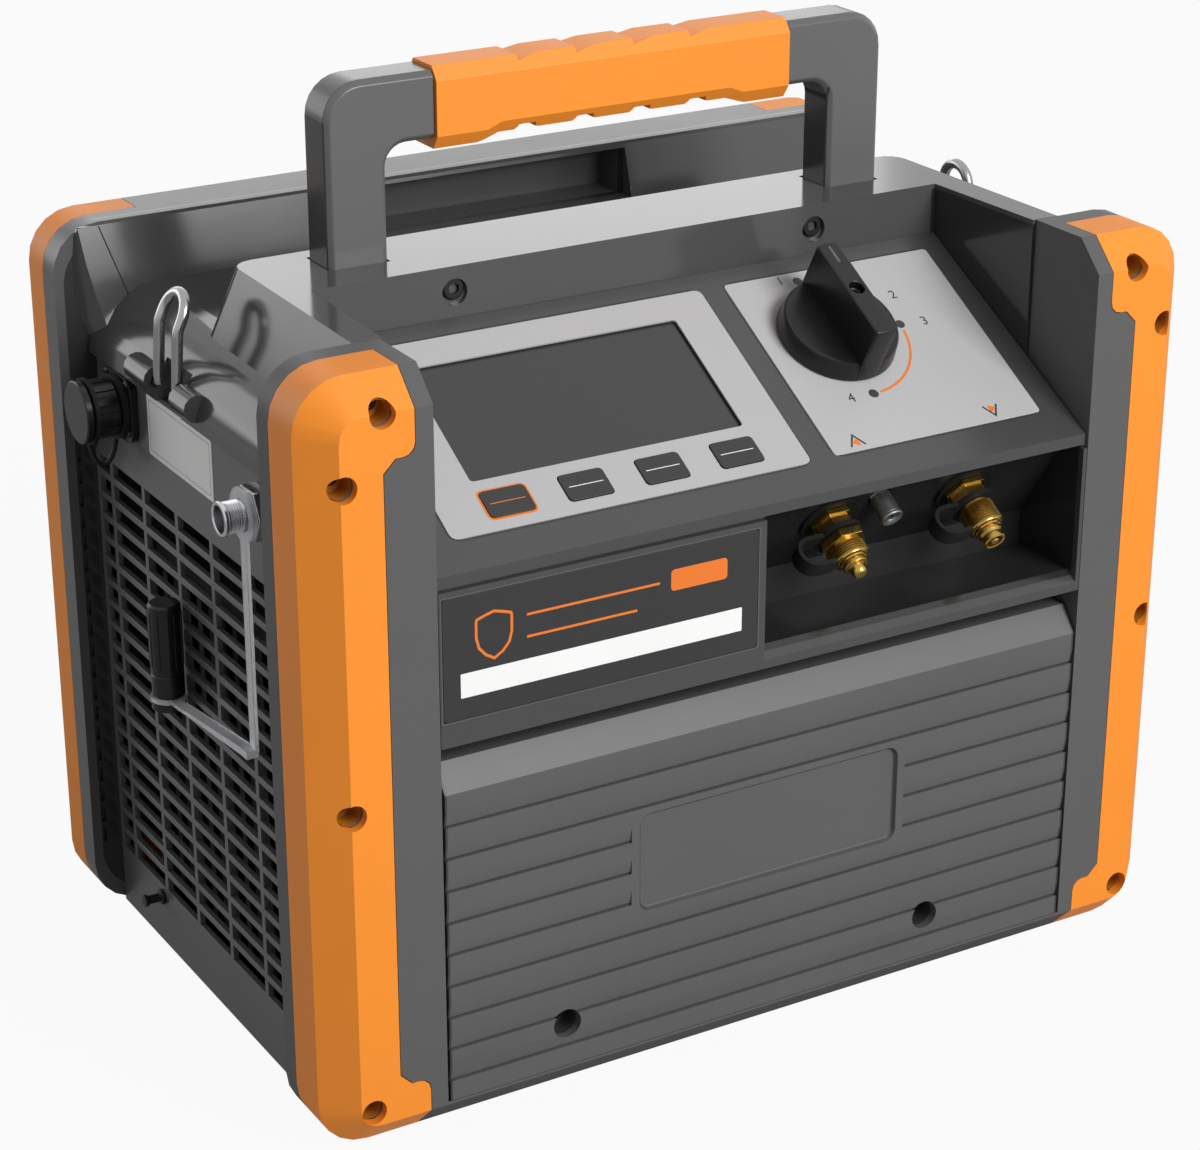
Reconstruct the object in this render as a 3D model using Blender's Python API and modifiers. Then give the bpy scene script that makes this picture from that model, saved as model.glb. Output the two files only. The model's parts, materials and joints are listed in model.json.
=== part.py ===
"""A portable refrigerant recovery machine: moulded case with corner guards, sloped control
panel, recessed hose fittings, louvred side panels, carrying handle and the parts inside.

Metres, +Z up. The origin is on the floor under the middle of the case, the control panel
faces -Y, and the power inlet is on the -X side. Each piece is one object in the collection
recovery_machine, and the shapes that cut or join pieces are in the collection cutters.
"""

import math

import bmesh
import bpy
from mathutils import Matrix, Vector

for old in list(bpy.data.objects):
    bpy.data.objects.remove(old, do_unlink=True)

PARTS = bpy.data.collections.new("recovery_machine")
CUTTERS = bpy.data.collections.new("cutters")
bpy.context.scene.collection.children.link(PARTS)
bpy.context.scene.collection.children.link(CUTTERS)

# The case
CASE_WIDTH = 0.400
CASE_DEPTH = 0.281
CASE_HEIGHT = 0.3155
FOOT_PROUD = 0.002
FIT_GAP = 0.0003
WALL = 0.003
CORNER_RADIUS = 0.0206
EDGE_CHAMFER = 0.0125
FRONT_FRAME_DEPTH = 0.0417
REAR_FRAME_DEPTH = 0.0404
REAR_TOP_DROP = 0.0019
OPENING_MARGIN = 0.050
SILL_HEIGHT = 0.0135
SIDE_INSET = 0.0132
DECK_DROP = 0.0275
SHOULDER_RADIUS = 0.029
PANEL_SEAM_DROP = 0.0567

# The corner guards
GUARD_THICKNESS = 0.0035
FRONT_GUARD_DEPTH = 0.032
REAR_GUARD_DEPTH = 0.028
GUARD_STRIP = 0.0295
GUARD_HOOK = 0.0425
GUARD_HOOK_HEIGHT = 0.0301
GUARD_FOOT_HEIGHT = 0.027
GUARD_FILLET = 0.005

# The sloped control panel
PANEL_SLOPE = math.radians(29.5)
PANEL_WALL = 0.004
PANEL_DEPTH = 0.1065
LIP_HEIGHT = 0.2353
LIP_THICKNESS = 0.005
LIP_SETBACK = 0.0015
SHEET_THICKNESS = 0.0008
SHEET_PROUD = 0.0003

# The hose recess and the badge beside it
RECESS_LEFT = -0.0065
RECESS_END_WALL = 0.0018
RECESS_DEPTH = 0.039
SHELF_HEIGHT = 0.1745
SHELF_LIP_HEIGHT = 0.004
SHELF_CHAMFER = 0.0055
SHELF_THICKNESS = 0.008
FACE_FOOT_HEIGHT = 0.0152
FITTING_TILT = math.radians(34)

# The ribbed front panel
RIB_PITCH = 0.01385
RIB_COUNT = 9
RIB_FIRST = 0.023
RIB_TAPER = 0.006
RIB_DEPTH = 0.0010
RIB_LINE = 0.0007
RIB_LINE_DEPTH = 0.0022
RIBBED_TOP = 0.147
RIBBED_SLOPE_DEPTH = 0.008
RIBBED_SLOPE_HEIGHT = 0.0105
RIBBED_THICKNESS = 0.0054
RIBBED_SIDE_GAP = 0.0012
SLOT_DEPTH = 0.020

# The louvred side panels
PANEL_THICKNESS = 0.0025
BAND_SETBACK = 0.003
BAND_LEDGE = 0.0066
GRILLE_BOTTOM = 0.0284
GRILLE_TOP = 0.215
GRILLE_FRONT = 0.0715
GRILLE_END_MARGIN = 0.0035
GRILLE_ROW_PITCH = 0.010
GRILLE_COLUMN_PITCH = 0.03415
GRILLE_FIRST_BAR = 0.0872
GRILLE_BAR = 0.003

# The handle
HANDLE_MARGIN = 0.0705
HANDLE_POST = 0.0261
HANDLE_DEPTH = 0.0205
HANDLE_RISE = 0.0732
HANDLE_BAR_HEIGHT = 0.0271
HANDLE_FRONT = 0.125
HANDLE_SOCKET = 0.016
HANDLE_BEND_OUTSIDE = 0.0155
HANDLE_BEND_INSIDE = 0.0092
GRIP_HALF_LENGTH = 0.082

LEFT = -1
RIGHT = 1
FRONT = -CASE_DEPTH / 2
BACK = CASE_DEPTH / 2
HALF = CASE_WIDTH / 2
OPENING_HALF_WIDTH = HALF - OPENING_MARGIN
HANDLE_HALF_WIDTH = HALF - HANDLE_MARGIN
TOP = FOOT_PROUD + CASE_HEIGHT
DECK = TOP - DECK_DROP
SIDE = HALF - SIDE_INSET
SIDE_START = FRONT + FRONT_FRAME_DEPTH + FIT_GAP
SIDE_END = BACK - REAR_FRAME_DEPTH - FIT_GAP
UP = Vector((0, 0, 1))


def depth(distance):
    """Y of a place this far behind the front face."""
    return FRONT + distance


def height(above):
    """Z of a place this far above the underside of the case."""
    return FOOT_PROUD + above


# Finishes


def finish(name, colour, roughness, metallic=0.0):
    material = bpy.data.materials.new(name)
    material.use_nodes = True
    shader = material.node_tree.nodes["Principled BSDF"]
    shader.inputs["Base Color"].default_value = (*colour, 1)
    shader.inputs["Roughness"].default_value = roughness
    shader.inputs["Metallic"].default_value = metallic
    return material


GREY_SHELL = finish("grey_shell", (0.12, 0.12, 0.12), 0.38)
DARK_SHELL = finish("dark_shell", (0.045, 0.045, 0.045), 0.4)
ORANGE_GUARD = finish("orange_guard", (0.95, 0.30, 0.03), 0.45)
PALE_SHEET = finish("pale_sheet", (0.60, 0.60, 0.60), 0.5)
DARK_LENS = finish("dark_lens", (0.07, 0.07, 0.07), 0.25)
BLACK_PLASTIC = finish("black_plastic", (0.02, 0.02, 0.02), 0.45)
BLACK_RUBBER = finish("black_rubber", (0.015, 0.015, 0.015), 0.7)
BRASS = finish("brass", (0.60, 0.40, 0.10), 0.28, 1.0)
STEEL = finish("steel", (0.55, 0.55, 0.56), 0.25, 1.0)
CLEAR_PLASTIC = finish("clear_plastic", (0.70, 0.72, 0.74), 0.2)
ALUMINIUM = finish("aluminium", (0.62, 0.63, 0.64), 0.4, 1.0)
CIRCUIT_GREEN = finish("circuit_green", (0.02, 0.12, 0.05), 0.5)


# Basic solids


def add_mesh(name, bm, surface):
    mesh = bpy.data.meshes.new(name)
    bm.to_mesh(mesh)
    bm.free()
    mesh.materials.append(surface)
    obj = bpy.data.objects.new(name, mesh)
    PARTS.objects.link(obj)
    return obj


def block(name, x, y, z, surface=DARK_SHELL):
    """A box between two values on each axis."""
    bm = bmesh.new()
    bmesh.ops.create_cube(bm, size=1)
    size = Vector((x[1] - x[0], y[1] - y[0], z[1] - z[0]))
    centre = Vector((x[1] + x[0], y[1] + y[0], z[1] + z[0])) / 2
    bmesh.ops.scale(bm, vec=size, verts=bm.verts)
    bmesh.ops.translate(bm, vec=centre, verts=bm.verts)
    return add_mesh(name, bm, surface)


def rounded(corners, steps=4):
    """Points of an outline whose corners are (x, y, radius)."""
    points = []
    for i, (x, y, radius) in enumerate(corners):
        corner = Vector((x, y))
        before = Vector(corners[i - 1][:2]) - corner
        after = Vector(corners[(i + 1) % len(corners)][:2]) - corner
        if not radius:
            points.append(corner)
            continue
        half_angle = before.angle(after) / 2
        reach = radius / math.tan(half_angle)
        reach = min(reach, before.length * (0.49 if corners[i - 1][2] else 0.999))
        reach = min(reach, after.length * (0.49 if corners[(i + 1) % len(corners)][2] else 0.999))
        start = corner + before.normalized() * reach
        end = corner + after.normalized() * reach
        centre = corner + (before.normalized() + after.normalized()).normalized() * (
            reach / math.cos(half_angle)
        )
        turn = (start - centre).angle_signed(end - centre)
        for step in range(steps + 1):
            spoke = (start - centre).to_3d()
            spoke.rotate(Matrix.Rotation(-turn * step / steps, 3, "Z"))
            points.append(centre + spoke.to_2d())
    return points


def box_outline(x, y, radius=0.0, steps=4):
    """A rectangle with round corners, as outline points."""
    corners = [(x[0], y[0]), (x[1], y[0]), (x[1], y[1]), (x[0], y[1])]
    return rounded([(*corner, radius) for corner in corners], steps)


PLANES = {
    "X": Matrix(((0, 0, 1, 0), (1, 0, 0, 0), (0, 1, 0, 0), (0, 0, 0, 1))),
    "Y": Matrix(((1, 0, 0, 0), (0, 0, -1, 0), (0, 1, 0, 0), (0, 0, 0, 1))),
    "Z": Matrix.Identity(4),
}


def extruded(name, outline, axis, start, end, surface=DARK_SHELL):
    """A flat outline drawn across an axis, run from start to end along it.

    The outline's points are (y, z) for X, (x, z) for Y and (x, y) for Z.
    """
    curve = bpy.data.curves.new(name, "CURVE")
    curve.dimensions = "2D"
    curve.fill_mode = "BOTH"
    curve.extrude = (end - start) / 2
    spline = curve.splines.new("POLY")
    spline.points.add(len(outline) - 1)
    for point, place in zip(spline.points, outline):
        point.co = (place[0], place[1], 0, 1)
    spline.use_cyclic_u = True
    flat = bpy.data.objects.new(name + "_outline", curve)
    PARTS.objects.link(flat)
    middle = (start + end) / 2
    if axis == "Y":
        middle = -middle
    flat.matrix_world = PLANES[axis] @ Matrix.Translation((0, 0, middle))
    bpy.context.view_layer.update()
    return as_mesh(name, flat, surface)


def as_mesh(name, shape, surface):
    """The mesh of an evaluated curve object, welded, with its place in the mesh."""
    evaluated = shape.evaluated_get(bpy.context.evaluated_depsgraph_get())
    mesh = bpy.data.meshes.new_from_object(evaluated)
    mesh.transform(shape.matrix_world)
    bm = bmesh.new()
    bm.from_mesh(mesh)
    bmesh.ops.remove_doubles(bm, verts=bm.verts, dist=1e-6)
    bmesh.ops.dissolve_limit(bm, angle_limit=1e-3, verts=bm.verts, edges=bm.edges)
    bmesh.ops.recalc_face_normals(bm, faces=bm.faces)
    bpy.data.meshes.remove(mesh)
    bpy.data.objects.remove(shape, do_unlink=True)
    return add_mesh(name, bm, surface)


def facing(direction, place):
    """A frame at a place, with its Z along a direction and its X level."""
    z = Vector(direction).normalized()
    x = Vector((1, 0, 0)) if abs(z.x) < 0.5 else Vector((0, 1, 0))
    y = z.cross(x).normalized()
    x = y.cross(z)
    frame = Matrix((x, y, z)).transposed().to_4x4()
    frame.translation = Vector(place)
    return frame


def turned(name, profile, frame, surface, steps=24):
    """A lathe shape about a frame's Z, from (radius, height) points, top to bottom."""
    bm = bmesh.new()
    closed = profile[0] == profile[-1]
    points = profile[:-1] if closed else profile
    verts = [bm.verts.new((radius, 0, level)) for radius, level in points]
    if closed:
        verts.append(verts[0])
    for first, second in zip(verts, verts[1:]):
        bm.edges.new((first, second))
    obj = add_mesh(name, bm, surface)
    screw = obj.modifiers.new("turn", "SCREW")
    screw.axis = "Z"
    screw.angle = math.tau
    screw.steps = steps
    screw.render_steps = steps
    screw.use_merge_vertices = True
    screw.merge_threshold = 1e-5
    obj.matrix_world = frame
    return obj


def rod(name, radius, bottom, top, frame, surface=DARK_SHELL, steps=24):
    return turned(name, [(0, top), (radius, top), (radius, bottom), (0, bottom)], frame, surface, steps)


def hex_bar(name, across_flats, bottom, top, frame, surface=BRASS):
    bm = bmesh.new()
    radius = across_flats / 2 / math.cos(math.pi / 6)
    bmesh.ops.create_cone(
        bm, cap_ends=True, segments=6, radius1=radius, radius2=radius, depth=top - bottom
    )
    bmesh.ops.translate(bm, vec=(0, 0, (top + bottom) / 2), verts=bm.verts)
    obj = add_mesh(name, bm, surface)
    obj.matrix_world = frame
    return obj


def wire(name, points, radius, surface, resolution=2):
    """A round wire through points, with closed ends."""
    curve = bpy.data.curves.new(name, "CURVE")
    curve.dimensions = "3D"
    curve.bevel_depth = radius
    curve.bevel_resolution = resolution
    curve.use_fill_caps = True
    spline = curve.splines.new("POLY")
    spline.points.add(len(points) - 1)
    for point, place in zip(spline.points, points):
        point.co = (*place, 1)
    path = bpy.data.objects.new(name + "_path", curve)
    PARTS.objects.link(path)
    bpy.context.view_layer.update()
    return as_mesh(name, path, surface)


def combine(target, other, operation):
    """Cut, join or keep what two shapes share. The other shape becomes a cutter."""
    PARTS.objects.unlink(other)
    CUTTERS.objects.link(other)
    other.hide_render = True
    other.display_type = "WIRE"
    modifier = target.modifiers.new(other.name, "BOOLEAN")
    modifier.operation = operation
    modifier.solver = "EXACT"
    modifier.object = other
    return target


def cut(target, *others):
    for other in others:
        combine(target, other, "DIFFERENCE")
    return target


def join(target, *others):
    for other in others:
        combine(target, other, "UNION")
    return target


def common(target, other):
    return combine(target, other, "INTERSECT")


def grouped(name, solids, surface=DARK_SHELL):
    """Several apart solids as one object, to cut with at once."""
    bm = bmesh.new()
    for solid in solids:
        solid.data.transform(solid.matrix_world)
        bm.from_mesh(solid.data)
        bpy.data.objects.remove(solid, do_unlink=True)
    return add_mesh(name, bm, surface)


def mirrored(points, side):
    """An outline on one side of the case. A flipped one keeps its turning sense."""
    if side == RIGHT:
        return points
    return [(-x, z) for x, z in reversed(points)]


# The front and rear frames and their guards


def envelope(name, face, inset, reach, surface=DARK_SHELL):
    """The rounded, chamfered end of the case, inset from its outer surface.

    The face is -1 at the front and 1 at the back, and the reach is its depth from the face.
    """
    drop = REAR_TOP_DROP if face > 0 else 0
    outline = box_outline(
        (-HALF + inset, HALF - inset),
        (height(inset), TOP - drop - inset),
        CORNER_RADIUS - inset,
        5,
    )
    outer = FRONT + inset if face < 0 else BACK - inset
    inner = FRONT + reach if face < 0 else BACK - reach
    obj = extruded(name, outline, "Y", min(outer, inner), max(outer, inner), surface)
    bm = bmesh.new()
    bm.from_mesh(obj.data)
    rim = [edge for edge in bm.edges if all(abs(v.co.y - outer) < 1e-6 for v in edge.verts)]
    chamfer = EDGE_CHAMFER - inset * (2 - math.sqrt(2))
    bmesh.ops.bevel(bm, geom=rim, offset=chamfer, segments=1, affect="EDGES", profile=0.5)
    bm.to_mesh(obj.data)
    bm.free()
    return obj


def guard_region(name, side, face, gap):
    """The prism that a corner guard fills on one side of the case."""
    drop = REAR_TOP_DROP if face > 0 else 0
    reach = FRONT_GUARD_DEPTH if face < 0 else REAR_GUARD_DEPTH
    beyond = 0.010
    strip = HALF - GUARD_STRIP - gap
    hook = HALF - GUARD_HOOK - gap
    hook_level = TOP - drop - GUARD_HOOK_HEIGHT - gap
    foot_level = height(GUARD_FOOT_HEIGHT) + gap
    corners = [
        (hook, TOP + beyond, 0),
        (hook, hook_level, GUARD_FILLET),
        (strip - GUARD_FILLET, hook_level, 0),
        (strip, hook_level - GUARD_FILLET, 0),
        (strip, foot_level + GUARD_FILLET, 0),
        (strip - GUARD_FILLET, foot_level, 0),
        (hook, foot_level, GUARD_FILLET),
        (hook, -beyond, 0),
        (HALF + beyond, -beyond, 0),
        (HALF + beyond, TOP + beyond, 0),
    ]
    outline = mirrored([tuple(p) for p in rounded(corners, 3)], side)
    start, end = (FRONT - beyond, FRONT + reach + gap)
    if face > 0:
        start, end = (BACK - reach - gap, BACK + beyond)
    return extruded(name, outline, "Y", start, end)


def corner_guard(name, side, face):
    reach = (FRONT_GUARD_DEPTH if face < 0 else REAR_GUARD_DEPTH) + 0.005
    guard = envelope(name, face, 0, reach, ORANGE_GUARD)
    common(guard, guard_region(name + "_region", side, face, 0))
    cut(guard, envelope(name + "_inside", face, GUARD_THICKNESS, reach + 0.010))
    return guard


def guard_pocket(name, side, face):
    pocket = guard_region(name, side, face, FIT_GAP)
    return cut(pocket, envelope(name + "_core", face, GUARD_THICKNESS + FIT_GAP, 0.060))


def front_frame():
    frame = envelope("front_frame", -1, 0, FRONT_FRAME_DEPTH, GREY_SHELL)
    opening = block(
        "front_opening",
        (-OPENING_HALF_WIDTH, OPENING_HALF_WIDTH),
        (FRONT - 0.010, depth(FRONT_FRAME_DEPTH) + 0.010),
        (height(SILL_HEIGHT), TOP + 0.010),
    )
    cut(frame, opening)
    hollow_start = depth(EDGE_CHAMFER + GUARD_THICKNESS)
    for side, word in ((LEFT, "left"), (RIGHT, "right")):
        cut(frame, guard_pocket("front_pocket_" + word, side, -1))
        inner = OPENING_HALF_WIDTH + WALL
        outer = SIDE - WALL
        x = sorted((side * inner, side * outer))
        hollow = block(
            "front_hollow_" + word,
            x,
            (hollow_start, depth(FRONT_FRAME_DEPTH) + 0.010),
            (height(SILL_HEIGHT), DECK - WALL),
        )
        cut(frame, hollow)
    return frame


def rear_cover():
    """The rear moulding: its rim, the wall with the vent slots, and the pocket at the top."""
    cover = envelope("rear_cover", 1, 0, REAR_FRAME_DEPTH, GREY_SHELL)
    for side, word in ((LEFT, "left"), (RIGHT, "right")):
        cut(cover, guard_pocket("rear_pocket_" + word, side, 1))
    wall_inside = BACK - GUARD_THICKNESS - FIT_GAP - WALL
    inside = block(
        "rear_inside",
        (-SIDE + WALL, SIDE - WALL),
        (SIDE_END - 0.010, wall_inside),
        (height(WALL), DECK - WALL),
    )
    cut(cover, inside)
    cut(cover, rear_pocket_box("pocket_in_cover", BACK - REAR_FRAME_DEPTH * 2))
    slots = []
    for row in range(REAR_VENT_ROWS):
        level = height(REAR_VENT_BOTTOM + row * REAR_VENT_PITCH)
        for column in (LEFT, RIGHT):
            middle = column * REAR_VENT_COLUMN
            half = REAR_VENT_LENGTH / 2
            slot = block(
                "rear_vent",
                (middle - half, middle + half),
                (wall_inside - 0.002, BACK + 0.002),
                (level, level + REAR_VENT_HEIGHT),
            )
            slots.append(slot)
    cut(cover, grouped("rear_vents", slots))
    return cover


REAR_VENT_ROWS = 8
REAR_VENT_BOTTOM = 0.080
REAR_VENT_PITCH = 0.016
REAR_VENT_COLUMN = 0.066
REAR_VENT_LENGTH = 0.110
REAR_VENT_HEIGHT = 0.006
POCKET_HALF_WIDTH = 0.072
POCKET_BOTTOM = 0.0015
POCKET_ROOF = 0.0026
POCKET_REACH = 0.021


def rear_pocket_box(name, start):
    """The dark pocket in the wall behind the handle."""
    return block(
        name,
        (-POCKET_HALF_WIDTH, POCKET_HALF_WIDTH),
        (start, BACK - REAR_FRAME_DEPTH + POCKET_REACH),
        (DECK + POCKET_BOTTOM, TOP - REAR_TOP_DROP - POCKET_ROOF),
    )


# The top cover: deck, shoulders, arms, plinth and the wall in front of the rear rim

PLINTH_HALF_WIDTH = HALF - 0.04125
PLINTH_BACK = 0.1543
PLINTH_CORNER = 0.009
PLINTH_DRAFT = 0.009
ARM_HALF_WIDTH = HALF - 0.039
BACK_WALL_HALF_WIDTH = OPENING_HALF_WIDTH - 0.0035
UPSTAND_FOOT = CASE_DEPTH - 0.052
UPSTAND_HALF_WIDTH = HALF - 0.020
UPSTAND_FLARE = 0.009
BOSS_RADIUS = 0.00575
BOSS_LENGTHS = {-1: 0.0150, 1: 0.0205}
BAIL_DROP = 0.048
BAIL_MIDDLE = 0.157
BAIL_HALF_SPACING = 0.0090
BAIL_WIRE = 0.0024
BAIL_NOTCH_HALF = 0.0125
BAIL_OUT = 0.0008
CHEEK_FOOT = DECK - 0.052


def shoulder_outline(offset):
    """Across the case: side skirts, round shoulders and deck, moved inwards by an offset."""
    side = SIDE - offset
    deck = DECK - offset
    foot = TOP - PANEL_SEAM_DROP
    radius = SHOULDER_RADIUS - offset
    corners = [(side, foot, 0), (side, deck, radius), (-side, deck, radius), (-side, foot, 0)]
    return [tuple(point) for point in rounded(corners, 6)]


def deck_shell(name, surface):
    outer = shoulder_outline(0)
    inner = shoulder_outline(WALL)
    return extruded(name, outer + inner[::-1], "Y", SIDE_START, SIDE_END, surface)


def lofted(name, low, high, low_z, high_z, surface=DARK_SHELL):
    """A solid between two level outlines that have the same number of points."""
    obj = extruded(name, low, "Z", low_z, high_z, surface)
    targets = {}
    for near, far in zip(low, high):
        targets[(round(near[0], 5), round(near[1], 5))] = far
    for vertex in obj.data.vertices:
        if abs(vertex.co.z - high_z) < 1e-6:
            place = targets[(round(vertex.co.x, 5), round(vertex.co.y, 5))]
            vertex.co.x, vertex.co.y = place[0], place[1]
    return obj


def plinth_outline(spread):
    front = SIDE_START
    back = depth(PLINTH_BACK) + spread
    wide = PLINTH_HALF_WIDTH + spread
    arm = ARM_HALF_WIDTH + spread
    corners = [
        (arm, front, 0),
        (wide, back, PLINTH_CORNER),
        (-wide, back, PLINTH_CORNER),
        (-arm, front, 0),
    ]
    return [tuple(point) for point in rounded(corners, 4)]


def control_well(name, gap, low, high, beyond=0.0):
    """The open well over the sloped panel, between the arms and the back wall."""
    taper = (OPENING_HALF_WIDTH - BACK_WALL_HALF_WIDTH) / PANEL_DEPTH
    ahead = 0.010
    wide = OPENING_HALF_WIDTH - gap + taper * ahead
    narrow = BACK_WALL_HALF_WIDTH - gap - taper * beyond
    front = FRONT - ahead
    back = depth(PANEL_DEPTH) + beyond
    outline = [(-wide, front), (wide, front), (narrow, back), (-narrow, back)]
    return extruded(name, outline, "Z", low, high)


def upstand_outline(half, front):
    """The wall in front of the rear rim, with its ends cut at a slant."""
    slant = (SIDE_END - front) * 0.9
    return [(-half + slant, front), (half - slant, front), (half, SIDE_END), (-half, SIDE_END)]


def bail_place(side):
    """The hinge point of a wire bail, on the shoulder."""
    return Vector((side * (SIDE - BAIL_OUT), depth(BAIL_MIDDLE), TOP - BAIL_DROP))


def boss_frame(side, end):
    place = bail_place(side) + Vector((0, end * BAIL_NOTCH_HALF, 0))
    return facing((0, end, 0), place)


def top_cover():
    cover = deck_shell("top_cover", DARK_SHELL)
    plinth = lofted(
        "plinth", plinth_outline(PLINTH_DRAFT), plinth_outline(0), DECK - WALL * 0.9, TOP
    )
    join(cover, plinth)
    upstand = lofted(
        "upstand",
        upstand_outline(UPSTAND_HALF_WIDTH - 0.001, depth(UPSTAND_FOOT)),
        upstand_outline(UPSTAND_HALF_WIDTH + UPSTAND_FLARE, SIDE_END - WALL * 0.4),
        DECK - 0.010,
        TOP - REAR_TOP_DROP - 0.001,
    )
    join(cover, upstand)
    for side, word in ((LEFT, "left"), (RIGHT, "right")):
        place = bail_place(side)
        half = BAIL_NOTCH_HALF + WALL
        outer = shoulder_outline(WALL * 0.5)
        inner = shoulder_outline(WALL * 3)
        backing = extruded(
            "bail_backing_" + word, outer + inner[::-1], "Y", place.y - half, place.y + half
        )
        near = block(
            "bail_backing_limits_" + word,
            sorted((side * HALF, side * SHOULDER_RADIUS * 4)),
            (place.y - HALF, place.y + HALF),
            (TOP - PANEL_SEAM_DROP + 0.0006, place.z + half),
        )
        common(backing, near)
        join(cover, backing)
        for end in (-1, 1):
            frame = boss_frame(side, end)
            boss = rod(
                "bail_boss_%s_%d" % (word, end), BOSS_RADIUS, -WALL / 2, BOSS_LENGTHS[end], frame, steps=12
            )
            join(cover, boss)
    cheek_outline = [
        (OPENING_HALF_WIDTH + WALL, SIDE_START),
        (BACK_WALL_HALF_WIDTH + WALL, depth(PANEL_DEPTH)),
        (BACK_WALL_HALF_WIDTH - WALL, depth(PANEL_DEPTH)),
        (OPENING_HALF_WIDTH - WALL, SIDE_START),
    ]
    for side, word in ((LEFT, "left"), (RIGHT, "right")):
        outline = [(side * x, y) for x, y in cheek_outline]
        cheek = extruded("cheek_" + word, outline, "Z", CHEEK_FOOT, DECK - WALL * 0.6)
        join(cover, cheek)
    inside_plinth = lofted(
        "plinth_inside",
        plinth_outline(PLINTH_DRAFT - WALL),
        plinth_outline(-WALL),
        DECK - WALL * 2,
        TOP - WALL,
    )
    keep = extruded(
        "plinth_inside_limits",
        box_outline((-HALF, HALF), (depth(PANEL_DEPTH) + WALL, BACK)),
        "Z",
        DECK - WALL * 3,
        TOP,
    )
    cut(cover, common(inside_plinth, keep))
    cut(cover, control_well("well", 0, CHEEK_FOOT - 0.010, TOP + 0.010))
    cut(cover, rear_pocket_box("pocket_in_upstand", depth(UPSTAND_FOOT) - 0.010))
    for side, word in ((LEFT, "left"), (RIGHT, "right")):
        cut(cover, handle_socket("handle_socket_" + word, side))
        place = bail_place(side)
        notch = block(
            "bail_notch_" + word,
            sorted((side * (SIDE - WALL * 2), side * (HALF + 0.010))),
            (place.y - BAIL_NOTCH_HALF, place.y + BAIL_NOTCH_HALF),
            (TOP - PANEL_SEAM_DROP - 0.010, place.z + BAIL_NOTCH_HALF),
        )
        cut(cover, notch)
        for end in (-1, 1):
            frame = boss_frame(side, end)
            bore = rod(
                "bail_bore_%s_%d" % (word, end), BAIL_WIRE + FIT_GAP, -0.001, BAIL_PIN + 0.001, frame,
                steps=12,
            )
            cut(cover, bore)
    return cover


BAIL_PIN = 0.008


def handle_socket(name, side):
    """The slot in the plinth that a handle post stands in."""
    outer = side * (HANDLE_HALF_WIDTH + FIT_GAP)
    inner = side * (HANDLE_HALF_WIDTH - HANDLE_POST - FIT_GAP)
    front = depth(HANDLE_FRONT) - FIT_GAP
    back = depth(HANDLE_FRONT) + HANDLE_DEPTH + FIT_GAP
    return block(name, sorted((outer, inner)), (front, back), (TOP - WALL * 1.5, TOP + 0.010))


def grille_rows():
    """The low and high edge of each row of openings."""
    rows = []
    low = height(GRILLE_BOTTOM)
    top = height(GRILLE_TOP)
    bar = low + GRILLE_ROW_PITCH - GRILLE_BAR
    while bar < top - GRILLE_BAR:
        rows.append((low, bar))
        low = bar + GRILLE_BAR
        bar += GRILLE_ROW_PITCH
    rows.append((low, top))
    return rows


def grille_columns(side):
    """The front and back edge of each column of openings."""
    pitch = GRILLE_COLUMN_PITCH * (1 if side == LEFT else 2)
    columns = []
    start = depth(GRILLE_FRONT)
    bar = depth(GRILLE_FIRST_BAR) + pitch - GRILLE_COLUMN_PITCH
    end = SIDE_END - GRILLE_END_MARGIN
    while bar + GRILLE_BAR * 2 < end:
        columns.append((start, bar - GRILLE_BAR / 2))
        start = bar + GRILLE_BAR / 2
        bar += pitch
    columns.append((start, end))
    return columns


def side_panel(side, word):
    """A louvred side panel, with the set-back band above the grille."""
    ledge = height(GRILLE_TOP) + 0.0006
    top = TOP - PANEL_SEAM_DROP - FIT_GAP

    def face(offset):
        return [
            (SIDE - offset, FOOT_PROUD),
            (SIDE - offset, ledge),
            (SIDE - BAND_SETBACK - offset, ledge + BAND_LEDGE),
            (SIDE - BAND_SETBACK - offset, top),
        ]

    outline = mirrored(face(0) + face(PANEL_THICKNESS)[::-1], side)
    panel = extruded("side_panel_" + word, outline, "Y", SIDE_START, SIDE_END, GREY_SHELL)
    openings = []
    for low, high in grille_rows():
        for start, end in grille_columns(side):
            x = sorted((side * (SIDE + 0.002), side * (SIDE - PANEL_THICKNESS - 0.002)))
            openings.append(block("opening", x, (start, end), (low, high)))
    cut(panel, grouped("openings_" + word, openings))
    if side == LEFT:
        cut(panel, rod("inlet_hole", INLET_BODY + FIT_GAP, -0.010, 0.010, inlet_frame()))
        cut(panel, rod("sensor_hole", SENSOR_SHANK + FIT_GAP, -0.010, 0.010, sensor_frame()))
        cut(panel, rod("drain_hole", DRAIN_STEM + FIT_GAP, -0.010, 0.010, drain_frame(), steps=12))
    return panel


# The sloped panel and its controls

PANEL_FOOT = Vector((0, FRONT + LIP_SETBACK, height(LIP_HEIGHT)))
PANEL_UP = Vector((0, math.cos(PANEL_SLOPE), math.sin(PANEL_SLOPE)))
PANEL_OUT = Vector((0, -math.sin(PANEL_SLOPE), math.cos(PANEL_SLOPE)))
PANEL_LENGTH = (PANEL_DEPTH - LIP_SETBACK) / math.cos(PANEL_SLOPE)

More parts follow.
